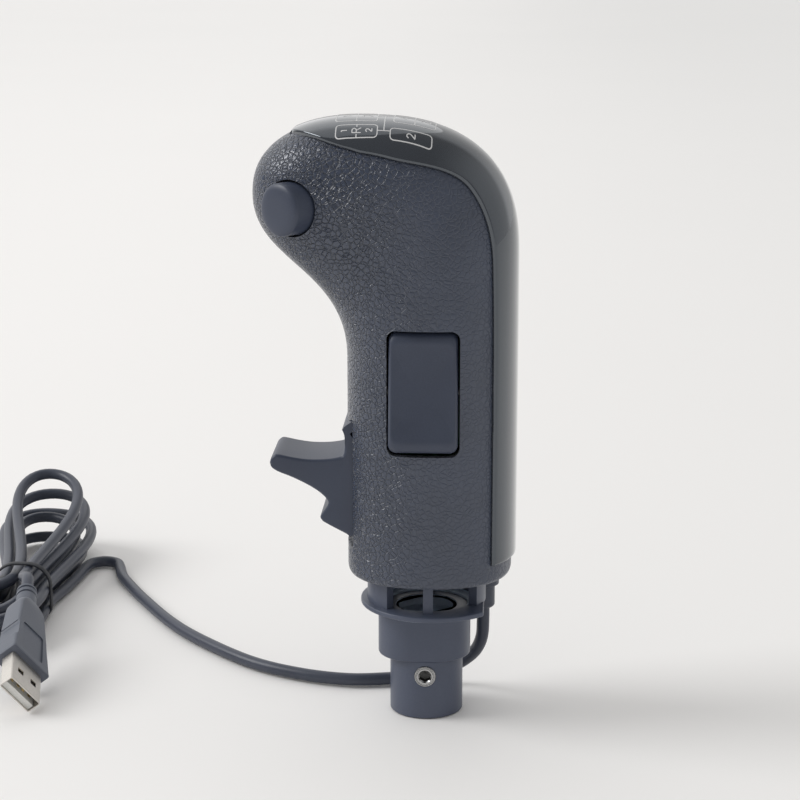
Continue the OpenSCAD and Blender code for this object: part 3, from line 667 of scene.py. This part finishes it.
# Axes of the side and of the button; screws as (X, Z, reach in Y) and board posts as (X, Z)
X_AXIS, Y_AXIS, Z_AXIS = np.eye(3)
SIDE_AXES = [X_AXIS, Z_AXIS, -Y_AXIS]
BUTTON_OUT = np.array([sind(BUTTON_TURN), -cosd(BUTTON_TURN), 0.0])
BUTTON_AXES = [np.cross(Z_AXIS, BUTTON_OUT), Z_AXIS, BUTTON_OUT]
SCREWS = [(7, 54, 18.7), (-14, 100, 12.2), (13, 128, 14), (-8, 150, 15)]
POSTS = [(-4, 116), (9.5, 116), (9.5, 75.5)]


def lever_slot():
    """The cutter of the slot that the lever swings in, through both shells."""
    y = LEVER_W / 2 + PLAY
    a = np.linspace(0, 360, 97)[:-1]
    disc = LEVER_AT + polar(DRUM_R + PLAY, a)
    disc = np.clip(disc, [-60, 49.6], [-12, 200])
    side = np.stack([disc[:, 0], np.full(len(disc), -y), disc[:, 1]], 1)
    return loft([side, side + [0, 2 * y, 0]])


def add_shells():
    """Both halves, with the openings of the rocker, the button, the lever and the screws cut through."""
    window = rounded_box(ROCKER_W + 1, ROCKER_H + 1.6, 2.4)
    opening = moved(loft([at_height(window, 0), at_height(window, 14)]), SIDE_AXES, ROCKER_AT + [0, 1.5, 0])
    recess = rod(BUTTON_AT - 12 * BUTTON_OUT, BUTTON_AT - 4.6 * BUTTON_OUT, 8.6)
    hole = rod(BUTTON_AT - 5 * BUTTON_OUT, BUTTON_AT + 12 * BUTTON_OUT, BUTTON_R + BUTTON_GAP)
    left = make("left_half", half_shell(-1), LEATHER, "grip", ["left_shell"])
    cut(left, [opening, lever_slot(), recess, hole])
    shade(left, 30)
    right = make("right_half", half_shell(1), LEATHER, "grip", ["right_shell"])
    cut(right, [lever_slot()] + [rod((x, 6, z), (x, 40, z), 3.1) for x, z, y in SCREWS])
    shade(right, 30)
    add_fittings(-1)
    add_fittings(1)


def rim_plate(side):
    """The plate across one half of the stem's lower end, cut round the base's ring."""
    angle = np.linspace(0, 180, 49) * side
    edge = grip(*np.broadcast_arrays(np.full(49, -1.0), angle), WALL * 0.6)[:, :2]
    hole = polar(RING_R + 0.3, angle)
    loop = np.concatenate([edge, hole[::-1]])
    return loft([at_height(loop, RIM_Z + 0.8), at_height(loop, RIM_Z + 3.2)])


def block(low, high):
    """A plain box between two corners."""
    (x0, y0, z0), (x1, y1, z1) = low, high
    loop = np.array([(x0, y0), (x1, y0), (x1, y1), (x0, y1)], float)
    return loft([at_height(loop, z0), at_height(loop, z1)])


def add_fittings(side):
    """What stands inside one half: rim plate, screw bosses, and on the near side posts and pin seats."""
    name = "left" if side < 0 else "right"
    make(name + "_rim_plate", rim_plate(side), SATIN, "grip", [])
    if side < 0:
        forms = [rod((x, -y, z), (x, 0, z), 4.4) for x, z, y in SCREWS]
        forms += [rod((x, -18.6, z), (x, -7.3, z), 2.4) for x, z in POSTS]
        z = ROCKER_AT[2]
        forms += [block((x, -18.6, z - 3), (x + 2.2, -14, z + 3)) for x in (-12.1, 9.3)]
    else:
        forms = []
        for x, z, y in SCREWS:
            wall = [(3.1, 0), (4.4, 0), (4.4, y), (3.1, y)]
            forms.append(moved(turned(wall, 40, True), [Z_AXIS, X_AXIS, Y_AXIS], (x, 0, z)))
    make(name + "_fittings", join(*forms), BLACK, "grip", [])


# Gloss cover: a band over the back and crown
COVER_LOW_T = -1 + 5.5 / (THROAT_Z - RIM_Z)
COVER_END_T = 0.82
COVER_ANGLE = 44.0
COVER_FLARE = 14.0
COVER_CLOSE_T = 0.66
SIDE_SHARE = 0.045
END_SHARE = 0.012


def band_angle(t):
    """Half angle of the band: even up the back, wider over the crown and closing to a round end."""
    wide = COVER_ANGLE + COVER_FLARE * smooth((t - 0.4) / 0.2)
    end = np.clip((t - COVER_CLOSE_T) / (COVER_END_T - COVER_CLOSE_T), 0, 1)
    return wide * np.sqrt(np.maximum(0.03, 1 - end ** 1.3))


def edged(n, edge):
    """Steps from -1 to 1 that crowd together within the given share of each end."""
    a = np.linspace(0, 90, 7)
    bend = 1 - edge * (1 - sind(a))
    inner = np.linspace(-(1 - edge), 1 - edge, n)
    return np.concatenate([-bend[::-1], inner[1:-1], bend])


def rim_drop(v, edge):
    """How far the cover's rim has come down, as a quarter round within the given share of its end."""
    near = np.clip((np.abs(v) - 1 + edge) / edge, 0, 1)
    return 1 - np.sqrt(np.clip(1 - near ** 2, 0, 1))


def add_cover():
    """The shells' own surface moved outwards, with its rim rounded down to the shells."""
    across = edged(40, SIDE_SHARE)[None, :]
    along = edged(120, END_SHARE)[:, None]
    t, share = np.broadcast_arrays(lerp(COVER_LOW_T, COVER_END_T, (along + 1) / 2), across)
    drop = np.maximum(rim_drop(share, SIDE_SHARE), rim_drop(along, END_SHARE))
    angle = share * band_angle(t)
    top = grip(t, angle, -COVER_GAP - COVER_THICK * (1 - drop))
    under = grip(t, angle, np.full_like(t, -COVER_GAP * 0.4))
    n, cols = t.shape
    column = np.arange(n) * cols
    ring = np.concatenate([column, column[-1] + np.arange(1, cols), column[-2::-1] + cols - 1,
                           np.arange(cols - 2, 0, -1)])
    after = np.roll(ring, -1)
    faces = [f[::-1] for f in grid_faces(n, cols)] + grid_faces(n, cols, first=n * cols)
    faces += np.stack([ring, ring + n * cols, after + n * cols, after], -1).tolist()
    points = np.concatenate([top.reshape(-1, 3), under.reshape(-1, 3)])
    make("cover", (points, faces), GLOSS, "grip", ["back_cover"], angle=50)


# Print on the cover: rounded boxes, link lines and plain figures
GLYPHS = {
    "R": [[(0, 0), (0, 1), (0.5, 1), (0.7, 0.78), (0.5, 0.52), (0, 0.52)], [(0.35, 0.52), (0.75, 0)]],
    "1": [[(0.15, 0.8), (0.4, 1), (0.4, 0)]],
    "2": [[(0, 0.8), (0.2, 1), (0.5, 1), (0.7, 0.8), (0.65, 0.55), (0, 0), (0.75, 0)]],
    "3": [[(0, 0.85), (0.2, 1), (0.5, 1), (0.7, 0.78), (0.4, 0.52), (0.7, 0.25), (0.5, 0), (0.2, 0),
           (0, 0.15)]],
    "4": [[(0.55, 0), (0.55, 1), (0, 0.3), (0.75, 0.3)]],
}
PRINT_BOXES = [(-23.5, -12.7, -14.2, -9.5), (-9.3, 1.5, -14.6, -10.6), (-23.9, -13.0, -7.4, 2.4),
               (-8.7, 2.2, -7.4, 2.4)]
PRINT_LINES = [[(-12.7, -11.9), (-9.3, -11.9)], [(-11, -11.9), (-11, -2.5)], [(-13, -2.5), (-8.7, -2.5)],
               [(-18.1, -14.2), (-18.1, -13.2)], [(-18.1, -10.5), (-18.1, -9.5)],
               [(-18.4, -7.4), (-18.4, 2.4)], [(-3.2, -7.4), (-3.2, 2.4)]]
PRINT_FIGURES = [("R", -18.1, -11.85, 2.3), ("1", -21.4, -11.85, 1.6), ("2", -14.9, -11.85, 1.6),
                 ("2", -3.9, -12.6, 2.1), ("1", -21.1, -2.5, 2.6), ("3", -15.7, -2.5, 2.6),
                 ("4", -6, -2.5, 2.6), ("2", -0.5, -2.5, 2.6)]


def on_cover(u, y, lift):
    """Points of the cover's face at the given X and Y: the ring that passes there is found in a few steps."""
    row = np.linspace(0.3, 0.95, 400)
    h = COVER_GAP + COVER_THICK + lift
    aim = u
    for _ in range(6):
        t = np.interp(-aim, -back_edge(row)[:, 0], row)
        share = np.clip(np.abs(y) / (half_width(t) + h), 0, 1) ** (SECTION_POWER / 2)
        at = grip(t, np.degrees(np.arcsin(share)) * np.sign(y), -h * np.ones_like(t))
        aim = aim + u - at[..., 0]
    return at


def ribbon(line, width=0.27):
    """A thin flat strip along a line on the cover's face."""
    p = np.asarray(line, float)
    gaps = np.linalg.norm(np.diff(p, axis=0), axis=1)
    at = np.concatenate([[0], np.cumsum(gaps)])
    d = np.linspace(0, at[-1], max(3, int(at[-1] / 0.3)))
    p = np.stack([np.interp(d, at, p[:, 0]), np.interp(d, at, p[:, 1])], 1)
    along = unit(np.gradient(p, axis=0))
    off = np.stack([-along[:, 1], along[:, 0]], 1) * width / 2
    rows = [on_cover(*(p + s * off).T, lift) for s, lift in ((-1, -0.05), (1, -0.05), (1, 0.03), (-1, 0.03))]
    return loft(np.stack(rows, 1))


def figure(name, u, y, size):
    """The strips of one figure, upright for a hand behind the grip, centred on the place given."""
    lines = [np.array(line) for line in GLYPHS[name]]
    return [ribbon(np.stack([u + size * (0.5 - g[:, 1]), y + size * (g[:, 0] - 0.37)], 1)) for g in lines]


def print_box(u0, u1, y0, y1):
    loop = rounded_box(u1 - u0, y1 - y0, 1.0) + [(u0 + u1) / 2, (y0 + y1) / 2]
    return ribbon(np.concatenate([loop, loop[:1]]))


def add_print():
    forms = [print_box(*box) for box in PRINT_BOXES]
    forms += [ribbon(line) for line in PRINT_LINES]
    for name, u, y, size in PRINT_FIGURES:
        forms += figure(name, u, y, size)
    make("print", join(*forms), PRINT, "grip", [])


# Controls
def lever_outline():
    """Side view of the lever: tip, hollow top, front plate, the arc behind it, hub, lobe and underside."""
    top = through([(-33.9, 7.9), (-33.2, 8.7), (-32, 9.1), (-28.4, 8.4), (-24.9, 7.9), (-21.6, 7.8),
                   (-18.4, 8), (-15.6, 8.5), (-14.2, 9.2), (-13.8, 12), (-13.9, 14.6), (-14.5, 16.3)], 5)
    a = np.linspace(129.4, 111, 8)
    arc = polar(DRUM_R, a)
    back = polar(DRUM_R - 2.4, a)[::-1]
    inside = np.array([(-9, 10), (-1, 5), (-1, -5), (-9, -13.4)])
    under = through([(-12.7, -13.5), (-18.9, -10.2), (-20.2, -9.2), (-20.5, -7.9), (-18.6, -5), (-18.7, -3.5),
                     (-21, -1.2), (-24.6, 1), (-28.6, 2.9), (-31.9, 4.2), (-33.7, 5.4), (-34.2, 6.8)], 5)
    return LEVER_AT + np.concatenate([top, arc, back, inside, under])


def add_lever():
    """The side view drawn across the lever's width; its edges are round outside the shells."""
    outline = lever_outline()
    way = np.roll(outline, -1, 0) - np.roll(outline, 1, 0)
    x, z = (outline - LEVER_AT).T
    share = smooth((-12.9 - x) / 0.8) * smooth((12.5 - z) / 2)
    inward = unit(np.stack([way[:, 1], -way[:, 0]], 1)) * share[:, None]
    half = LEVER_W / 2
    steps = rounded_ends(-half, half, 0.8, 7)
    rows = [np.insert(outline + inset * inward, 1, y, axis=1) for inset, y in steps]
    hub = rod((LEVER_AT[0], -half, LEVER_AT[1]), (LEVER_AT[0], half, LEVER_AT[1]), 5)
    tail = np.array([(-8, -3, 61.2), (4, -3, 63), (5, -3, 63.6), (5, -3, 66), (4, -3, 66.4), (-8, -3, 70.8)])
    form = join(loft(rows), hub, loft([tail, tail + [0, 6, 0]]))
    make("lever", form, SATIN, "lever", ["range_lever"], angle=40)


def add_rocker():
    """A dished cap built up from rounded outlines, each a little smaller, and tilted about its pin."""
    side_round = 1.0
    end_round = 3.2
    face = -6.0
    steps = [(0.0, 0.0, -1.8)]
    for v in np.linspace(0, 90, 12):
        fall = 1 - cosd(v)
        steps.append((side_round * fall, end_round * fall, face + end_round * (1 - sind(v))))
    for v in np.linspace(0.02, 1, 28):
        steps.append((lerp(side_round, ROCKER_W / 2 - 0.3, v), lerp(end_round, ROCKER_H / 2 - 0.3, v), face))
    rows = []
    for across, along, y in steps:
        w = ROCKER_W - 2 * across
        h = ROCKER_H - 2 * along
        outline = rounded_box(w, h, min(2.2, 0.45 * w, 0.45 * h), 8)
        dish = 1.2 * (1 - (2 * outline[:, 1] / ROCKER_H) ** 2) * smooth((-3.4 - y) / 2.6)
        rows.append(np.stack([outline[:, 0], y + dish, outline[:, 1]], 1))
    form = join(loft(rows), rod((-8, 0, 0), (8, 0, 0), 2.7))
    c, s = cosd(ROCKER_TILT), sind(ROCKER_TILT)
    form = moved(form, [X_AXIS, [0, c, s], [0, -s, c]], ROCKER_AT)
    make("rocker", form, SATIN, "rocker", ["splitter_rocker"], angle=40)


def add_button():
    """A domed cap on a skirt with a collar that keeps it in the shell."""
    a = np.linspace(0, 89.5, 20)
    dome = np.stack([BUTTON_R * cosd(a) ** 0.5, 1.9 + 1.5 * sind(a) ** 0.9], 1)
    skirt = [(5.0, -2.0), (5.0, -6.2), (8.3, -6.2), (8.3, -4.8), (BUTTON_R, -4.8)]
    form = moved(turned(np.concatenate([skirt, dome]), 72), BUTTON_AXES, BUTTON_AT)
    make("button", form, SATIN, "button", ["thumb_button"], angle=35)


# Base
RING_INNER = RING_R - RING_WALL
HOLE_R = NECK_R - 1.5
HOLE_LOW = BORE_DEPTH + 3
WALL_TOP = RIM_Z + 3.4
RING_WALLS = [(-31, 31, WALL_TOP), (129, 231, RIM_Z), (-91.2, -81.8, WALL_TOP), (81.8, 91.2, WALL_TOP)]


def stadium(inset, n):
    """Outline of the collar: two half circles with straight sides between."""
    right = polar(NECK_R - inset, np.linspace(-90, 90, n)) + [COLLAR_HALF - NECK_R, 0]
    return np.concatenate([right, -right]) + [COLLAR_X, 0]


def sector(r0, r1, a0, a1, z0, z1):
    """A piece of a ring wall between two angles."""
    a = np.linspace(a0, a1, 24)
    loop = np.concatenate([polar(r1, a), polar(r0, a)[::-1]])
    return loft([at_height(loop, z0), at_height(loop, z1)])


def circle(r, x, n=96):
    """Outline of a circle whose centre is at x on the X axis."""
    return polar(r, np.linspace(0, 360, n, endpoint=False)) + [x, 0]


def add_neck():
    """A round neck with its bore and the hole of the set screw."""
    top = NECK_H + 0.3
    wall = [(BORE_R, 0.5), (BORE_R, 0), (NECK_R, 0), (NECK_R, top), (BORE_R, top), (BORE_R, 0.5)]
    neck = make("neck", turned(rounded(wall, 0.5)[:-1], 96, True), BASE, "grip", [], angle=35)
    cut(neck, [rod((0, -20, SET_SCREW_Z), (0, -4, SET_SCREW_Z), 3.02, 64)])
    shade(neck, 35)


def add_seat():
    """The stepped ring between the collar and the flange, made pale with painted light."""
    r = HOLE_R + 0.1
    outside = RING_R - 1.4
    low = COLLAR_TOP + 0.4
    step = FLANGE_LOW - 0.3
    high = FLANGE_LOW + 0.1
    ring = [(r, COLLAR_TOP), (outside, COLLAR_TOP), (outside, high), (RING_INNER, high), (RING_INNER, step),
            (WELL_R, step), (WELL_R, low), (r, low)]
    make("seat", turned(ring, 96, True), INNER, "grip", [], angle=35)


def add_base():
    """The collar with its well, and the ring wall with its windows and rim."""
    top = COLLAR_TOP + 0.2
    corner = rounded_ends(NECK_H, top, 0.5, 5)[:5]
    collar = [at_height(stadium(inset, 48), z) for inset, z in corner + [(0, top)]]
    hole = [(HOLE_R, top), (HOLE_R, HOLE_LOW), (0.1, HOLE_LOW)]
    well = [at_height(circle(r, 0), z) for r, z in hole]
    low, high = RIM_Z - 0.8, RIM_Z + 0.8
    rim = turned([(RING_INNER, low), (RING_R, low), (RING_R, high), (RING_INNER, high)], 96, True)
    walls = [sector(RING_INNER, RING_R, a0, a1, FLANGE_TOP - 0.4, z) for a0, a1, z in RING_WALLS]
    form = join(loft(collar + well), rim, *walls)
    make("base", form, BASE, "grip", ["base_plug"], angle=35)


def add_well():
    """The lining of the well and the thin shelf round it, and the lid that closes the ring; lining and lid
    are pale with painted light.
    """
    thin = 0.1
    r = HOLE_R - 0.05
    low = HOLE_LOW + thin
    high = COLLAR_TOP + 0.45
    lining = [(thin, low), (r, low), (r, high), (r - thin, high), (r - thin, low + thin), (thin, low + thin)]
    make("well_lining", turned(lining, 96), INNER, "grip", [])
    edge = WELL_R - thin
    shelf = [(r, high), (edge, high), (edge, high + thin), (r, high + thin)]
    make("well_shelf", turned(shelf, 96, True), BASE, "grip", [])
    low, high = RIM_Z + 1.2, RIM_Z + 2.2
    edge = RING_INNER - thin
    lid = [(thin, low), (edge, low), (edge, high), (thin, high)]
    make("ring_lid", turned(lid, 96), INNER, "grip", [])


def flange_edge(inset):
    """Outline of the flange: a circle off the centre, cut off straight beside the lead."""
    edge = circle(FLANGE_R - inset, FLANGE_X, 192)
    return np.minimum(edge, [FLANGE_CUT - inset, FLANGE_R])


def add_flange():
    """A thin plate with round edges and a bite out of it for the lead."""
    hole = circle(RING_INNER, 0, 192)
    rows = [at_height(hole, FLANGE_LOW)]
    for inset, z in rounded_ends(FLANGE_LOW, FLANGE_TOP, 0.4, 5):
        rows.append(at_height(flange_edge(inset), z))
    rows.append(at_height(hole, FLANGE_TOP))
    flange = make("flange", hoop(rows), BASE, "grip", [], angle=35)
    x, y = RELIEF_AT[:2]
    cut(flange, [rod((x, y, FLANGE_LOW - 2), (x, y, FLANGE_TOP + 2), 4.8)])
    shade(flange, 35)


def hexagon(r, n):
    """Points of a six-sided outline at n even angles, r from its centre to a flat."""
    a = np.linspace(0, 360, n, endpoint=False)
    return polar(r / cosd((a + 30) % 60 - 30), a)


def add_set_screw():
    """A chamfered steel ring, and the six-sided socket in it, darker with painted shade."""
    n = 72
    disc = circle(1.0, 0, n)
    wide = hexagon(1.5, n)
    narrow = hexagon(1.42, n)
    at = (0, -NECK_R - 0.2, SET_SCREW_Z)
    profile = [(3.0, -3.6), (3.0, -0.4), (2.85, -0.08), (2.65, -0.02), (2.5, -0.25), (2.35, -0.25),
               (2.2, 0.0), (1.85, 0.0)]
    ring = [at_height(r * disc, z) for r, z in profile]
    ring += [at_height(wide, -0.35), at_height(wide, -3.6)]
    make("screw", moved(hoop(ring), SIDE_AXES, at), STEEL, "grip", ["set_screw"], angle=30)
    socket = [at_height(wide, -0.4), at_height(narrow, -0.4), at_height(narrow, -2.3),
              at_height(0.05 * disc, -2.7), at_height(0.05 * disc, -3.4), at_height(wide, -3.4)]
    make("screw_socket", moved(hoop(socket), SIDE_AXES, at), SHADED_STEEL, "grip", [], angle=30)


def add_relief():
    """The sleeve round the lead, with a wider head under the shells."""
    top = RIM_Z + 5.2
    profile = [(0.1, RELIEF_LOW), (2.2, RELIEF_LOW), (3.25, RELIEF_LOW + 0.8), (3.25, FLANGE_TOP + 0.4),
               (4.4, FLANGE_TOP + 0.4), (4.4, RIM_Z), (3.2, RIM_Z), (3.2, top), (0.1, top)]
    points, faces = turned(rounded(profile, 0.4), 64)
    make("relief", (points + RELIEF_AT, faces), RUBBER, "grip", ["strain_relief"])


# Hank tie and plug
def waist_outline(grow):
    """Outline of the hank's waist: small corners below, round over the top."""
    left = -WAIST + WAIST_STEP / 3 - CORD_R
    right = WAIST + CORD_R
    high = 3 * LAYER_H + 2 * CORD_R
    small = 2.5
    large = 6.9
    a = np.linspace(0, 90, 13)
    arcs = []
    for start, x, z, r in ((-90, right - small, small, small), (0, right - large, high - large, large),
                           (90, left + large, high - large, large), (180, left + small, small, small)):
        arcs.append(polar(r + grow, a + start) + [x, z])
    return np.concatenate(arcs)


def add_tie():
    """A thin band with rounded edges that runs round the drawn-in waist."""
    section = [(0.0, -1.1), (0.0, 1.1), (0.25, 1.45), (0.55, 1.25), (0.7, 0.6), (0.7, -0.6), (0.55, -1.25),
               (0.25, -1.45)]
    rows = []
    for grow, y in section:
        loop = waist_outline(grow)
        rows.append(on_hank(loop[:, 0], np.full(len(loop), y), HANK_LOW - CORD_R + loop[:, 1]).T)
    return make("tie", hoop(rows), TIE, "grip", ["cord_tie"])


PLUG_SIDE = unit(np.cross(PLUG_DIR, Z_AXIS))
PLUG_UP = np.cross(PLUG_SIDE, unit(PLUG_DIR))
PLUG_AXES = [-cosd(PLUG_ROLL) * PLUG_UP - sind(PLUG_ROLL) * PLUG_SIDE,
             sind(PLUG_ROLL) * PLUG_UP - cosd(PLUG_ROLL) * PLUG_SIDE, unit(PLUG_DIR)]


def add_plug():
    """A grooved sleeve, a body that widens to the front, a sunk panel and a finger groove on each side."""
    profile = [(0.1, 0), (2.7, 0), (3.0, 0.4)]
    for z in (1.2, 3.6):
        profile += [(3.0, z), (2.4, z + 0.15), (2.4, z + 0.85), (3.05, z + 1.0)]
    sleeve = turned(profile + [(3.1, 9.0), (0.1, 9.0)], 48)
    sizes = [(7.4, 5.6, 5.6, 2.7), (8.6, 6.4, 6.0, 2.6), (10.0, 7.8, 6.6, 2.2), (11.4, 9.2, 7.0, 1.7),
             (12.6, 9.9, 7.1, 1.3), (14.0, 10.2, 7.1, 1.0)]
    for back, inset, r in ((1.4, 0.2, 0.8), (0.4, 0.0, 0.8), (0.1, 0.2, 0.7), (0.0, 0.7, 0.6)):
        sizes.append((PLUG_FRONT - back, PLUG_W - inset, PLUG_H - inset, r))
    body = loft([at_height(rounded_box(w, h, r), z) for z, w, h, r in sizes])
    form = moved(join(sleeve, body), PLUG_AXES, PLUG_REAR)
    mould = make("plug_mould", form, MOULD, "grip", ["plug_overmould"], angle=28)
    panel = [at_height(rounded_box(13.0, 8.4, 1.0), z) for z in (3.35, PLUG_H / 2 + 1)]
    across = [PLUG_AXES[2], PLUG_AXES[0], PLUG_AXES[1]]
    tools = [moved(loft(panel), across, PLUG_REAR + 31.4 * PLUG_AXES[2])]
    groove = np.array([(6.0, 26.0), (5.7, 26.6), (6.2, 33.0), (6.5, 33.6), (9.0, 33.6), (9.0, 26.0)])
    for side in (-1, 1):
        loop = np.stack([side * groove[:, 0], np.full(len(groove), -5.0), groove[:, 1]], 1)
        tools.append(moved(loft([loop, loop + [0, 10, 0]]), PLUG_AXES, PLUG_REAR))
    cut(mould, tools)
    shade(mould, 28)
    return mould


def add_tongue():
    """The flat tongue in the plug's mouth, and the four contact strips on its face."""
    rear = PLUG_FRONT - 1
    sizes = [(11.3, rear), (11.3, MOUTH_FRONT - 0.9), (11.1, MOUTH_FRONT - 0.7)]
    rows = [at_height(rounded_box(w, 1.85, 0.25) + [0, -1.02], z) for w, z in sizes]
    strips = []
    for x in (-3.5, -1.0, 1.0, 3.5):
        strips.append(block((x - 0.5, -0.15, rear), (x + 0.5, 0.08, MOUTH_FRONT - 3)))
    form = moved(loft(rows), PLUG_AXES, PLUG_REAR)
    core = make("tongue", form, PALE, "grip", ["plug_tongue"])
    form = moved(join(*strips), PLUG_AXES, PLUG_REAR)
    gold = make("contacts", form, GOLD, "grip", ["plug_contacts"])
    return core, gold


def add_plug_shell():
    """The thin metal tube of the plug, with two square holes through its broad sides."""
    outer = rounded_box(MOUTH_W, MOUTH_H, 0.6)
    inner = rounded_box(MOUTH_W - 2 * MOUTH_WALL, MOUTH_H - 2 * MOUTH_WALL, 0.4)
    rear = PLUG_FRONT - 1
    rows = [at_height(outer, rear), at_height(outer, MOUTH_FRONT - 0.2),
            at_height(outer * 0.995, MOUTH_FRONT), at_height(inner, MOUTH_FRONT), at_height(inner, rear)]
    form = moved(hoop(rows), PLUG_AXES, PLUG_REAR)
    shell = make("plug_tube", form, NICKEL, "grip", ["plug_shell"])
    holes = []
    for x in (-2.6, 2.6):
        square = rounded_box(2.2, 2.2, 0.2) + [x, 0]
        flat = np.stack([square[:, 0], np.full(len(square), -5.0), MOUTH_FRONT - 6.4 + square[:, 1]], 1)
        holes.append(moved(loft([flat, flat + [0, 10, 0]]), PLUG_AXES, PLUG_REAR))
    cut(shell, holes)
    shade(shell, 35)
    return shell


def finish_inner_pieces():
    """Gives the pieces of the frame that still show a material with detail."""
    looks = {"steel": STEEL, "switch": BLACK, "board": BOARD, "header": PALE, "gold": GOLD, "rubber": RUBBER}
    for part in frame["record"]["subparts"]:
        # The rocker's pin takes steel darkened with painted shade, as it sits in the gap round the cap
        look = SHADED_STEEL if part["node"] == "rocker_pin" else looks.get(part["material_slot"])
        if look:
            mesh = frame["nodes"][part["node"]].data
            mesh.materials.clear()
            mesh.materials.append(look)


# Stage and light, in metres
FLOOR_HALF = 9.0
FLOOR_Z = -0.0002
ROOM_LIGHT = 0.62


def add_stage():
    """A pale floor with painted light: lighter towards the window on the left, darker to the right and far
    off.
    """
    look = Look("floor_painted_light", specular=0.2)
    cloud = look.noise(3.0, 2.0)
    side = look.place.axis(0)
    far = look.place.axis(1)
    # Painted light: the colour darkens to the right, which also deepens the cast shadow there, and a little
    # into the distance
    tone = side.step(-0.32, 0.32) * 0.6 + far.step(0.5, 3.0) * 0.3 + cloud * 0.1
    look.feed("Base Color", tone.blend((0.9, 0.885, 0.87), (0.74, 0.735, 0.725)))
    look.shader.inputs["Roughness"].default_value = 0.7
    mesh = bpy.data.meshes.new("floor")
    corners = [(x * FLOOR_HALF, y * FLOOR_HALF, FLOOR_Z) for x, y in ((-1, -1), (1, -1), (1, 1), (-1, 1))]
    mesh.from_pydata(corners, [], [(0, 1, 2, 3)])
    mesh.materials.append(look.material)
    floor = bpy.data.objects.new("floor", mesh)
    bpy.context.scene.collection.objects.link(floor)


def add_sun(name, energy, angle, way):
    """A broad light that shines the given way; its angle is how wide it looks."""
    data = bpy.data.lights.new(name, "SUN")
    data.energy = energy
    data.angle = np.radians(angle)
    lamp = bpy.data.objects.new(name, data)
    lamp.location = -Vector(way)
    lamp.rotation_mode = "QUATERNION"
    lamp.rotation_quaternion = Vector(way).to_track_quat("-Z", "Y")
    bpy.context.scene.collection.objects.link(lamp)


def add_lights():
    """Even light from all round and two suns; in reflections the room is darker, least ahead and right."""
    world = bpy.data.worlds.new("room")
    world.use_nodes = True
    tree = world.node_tree
    where = Socket(tree, tree.nodes.new("ShaderNodeTexCoord").outputs["Generated"])
    ray = Socket(tree, tree.nodes.new("ShaderNodeLightPath").outputs["Is Glossy Ray"])
    ahead = where.axis(1)
    right = where.axis(0)
    mirrored = 0.27 + ahead.step(0.42, 0.62) * 0.32 + right.step(0.4, 0.9) * 0.36
    strength = ROOM_LIGHT + ray * (mirrored - ROOM_LIGHT)
    room = tree.nodes["Background"].inputs
    room["Color"].default_value = (1.0, 0.995, 0.99, 1.0)
    tree.links.new(strength.out, room["Strength"])
    bpy.context.scene.world = world
    add_sun("window", 1.45, 30.0, (0.92, 0.02, -0.68))
    add_sun("sky", 0.65, 80.0, (0.42, -0.62, -0.62))
    bpy.context.scene.view_settings.view_transform = "Standard"


lead, lead_path, lead_length = add_lead()
add_shells()
add_cover()
add_print()
add_lever()
add_rocker()
add_button()
add_neck()
add_seat()
add_base()
add_well()
add_flange()
add_set_screw()
add_relief()
tie = add_tie()
mould = add_plug()
shell = add_plug_shell()
tongue, contacts = add_tongue()
finish_inner_pieces()
add_stage()
add_lights()
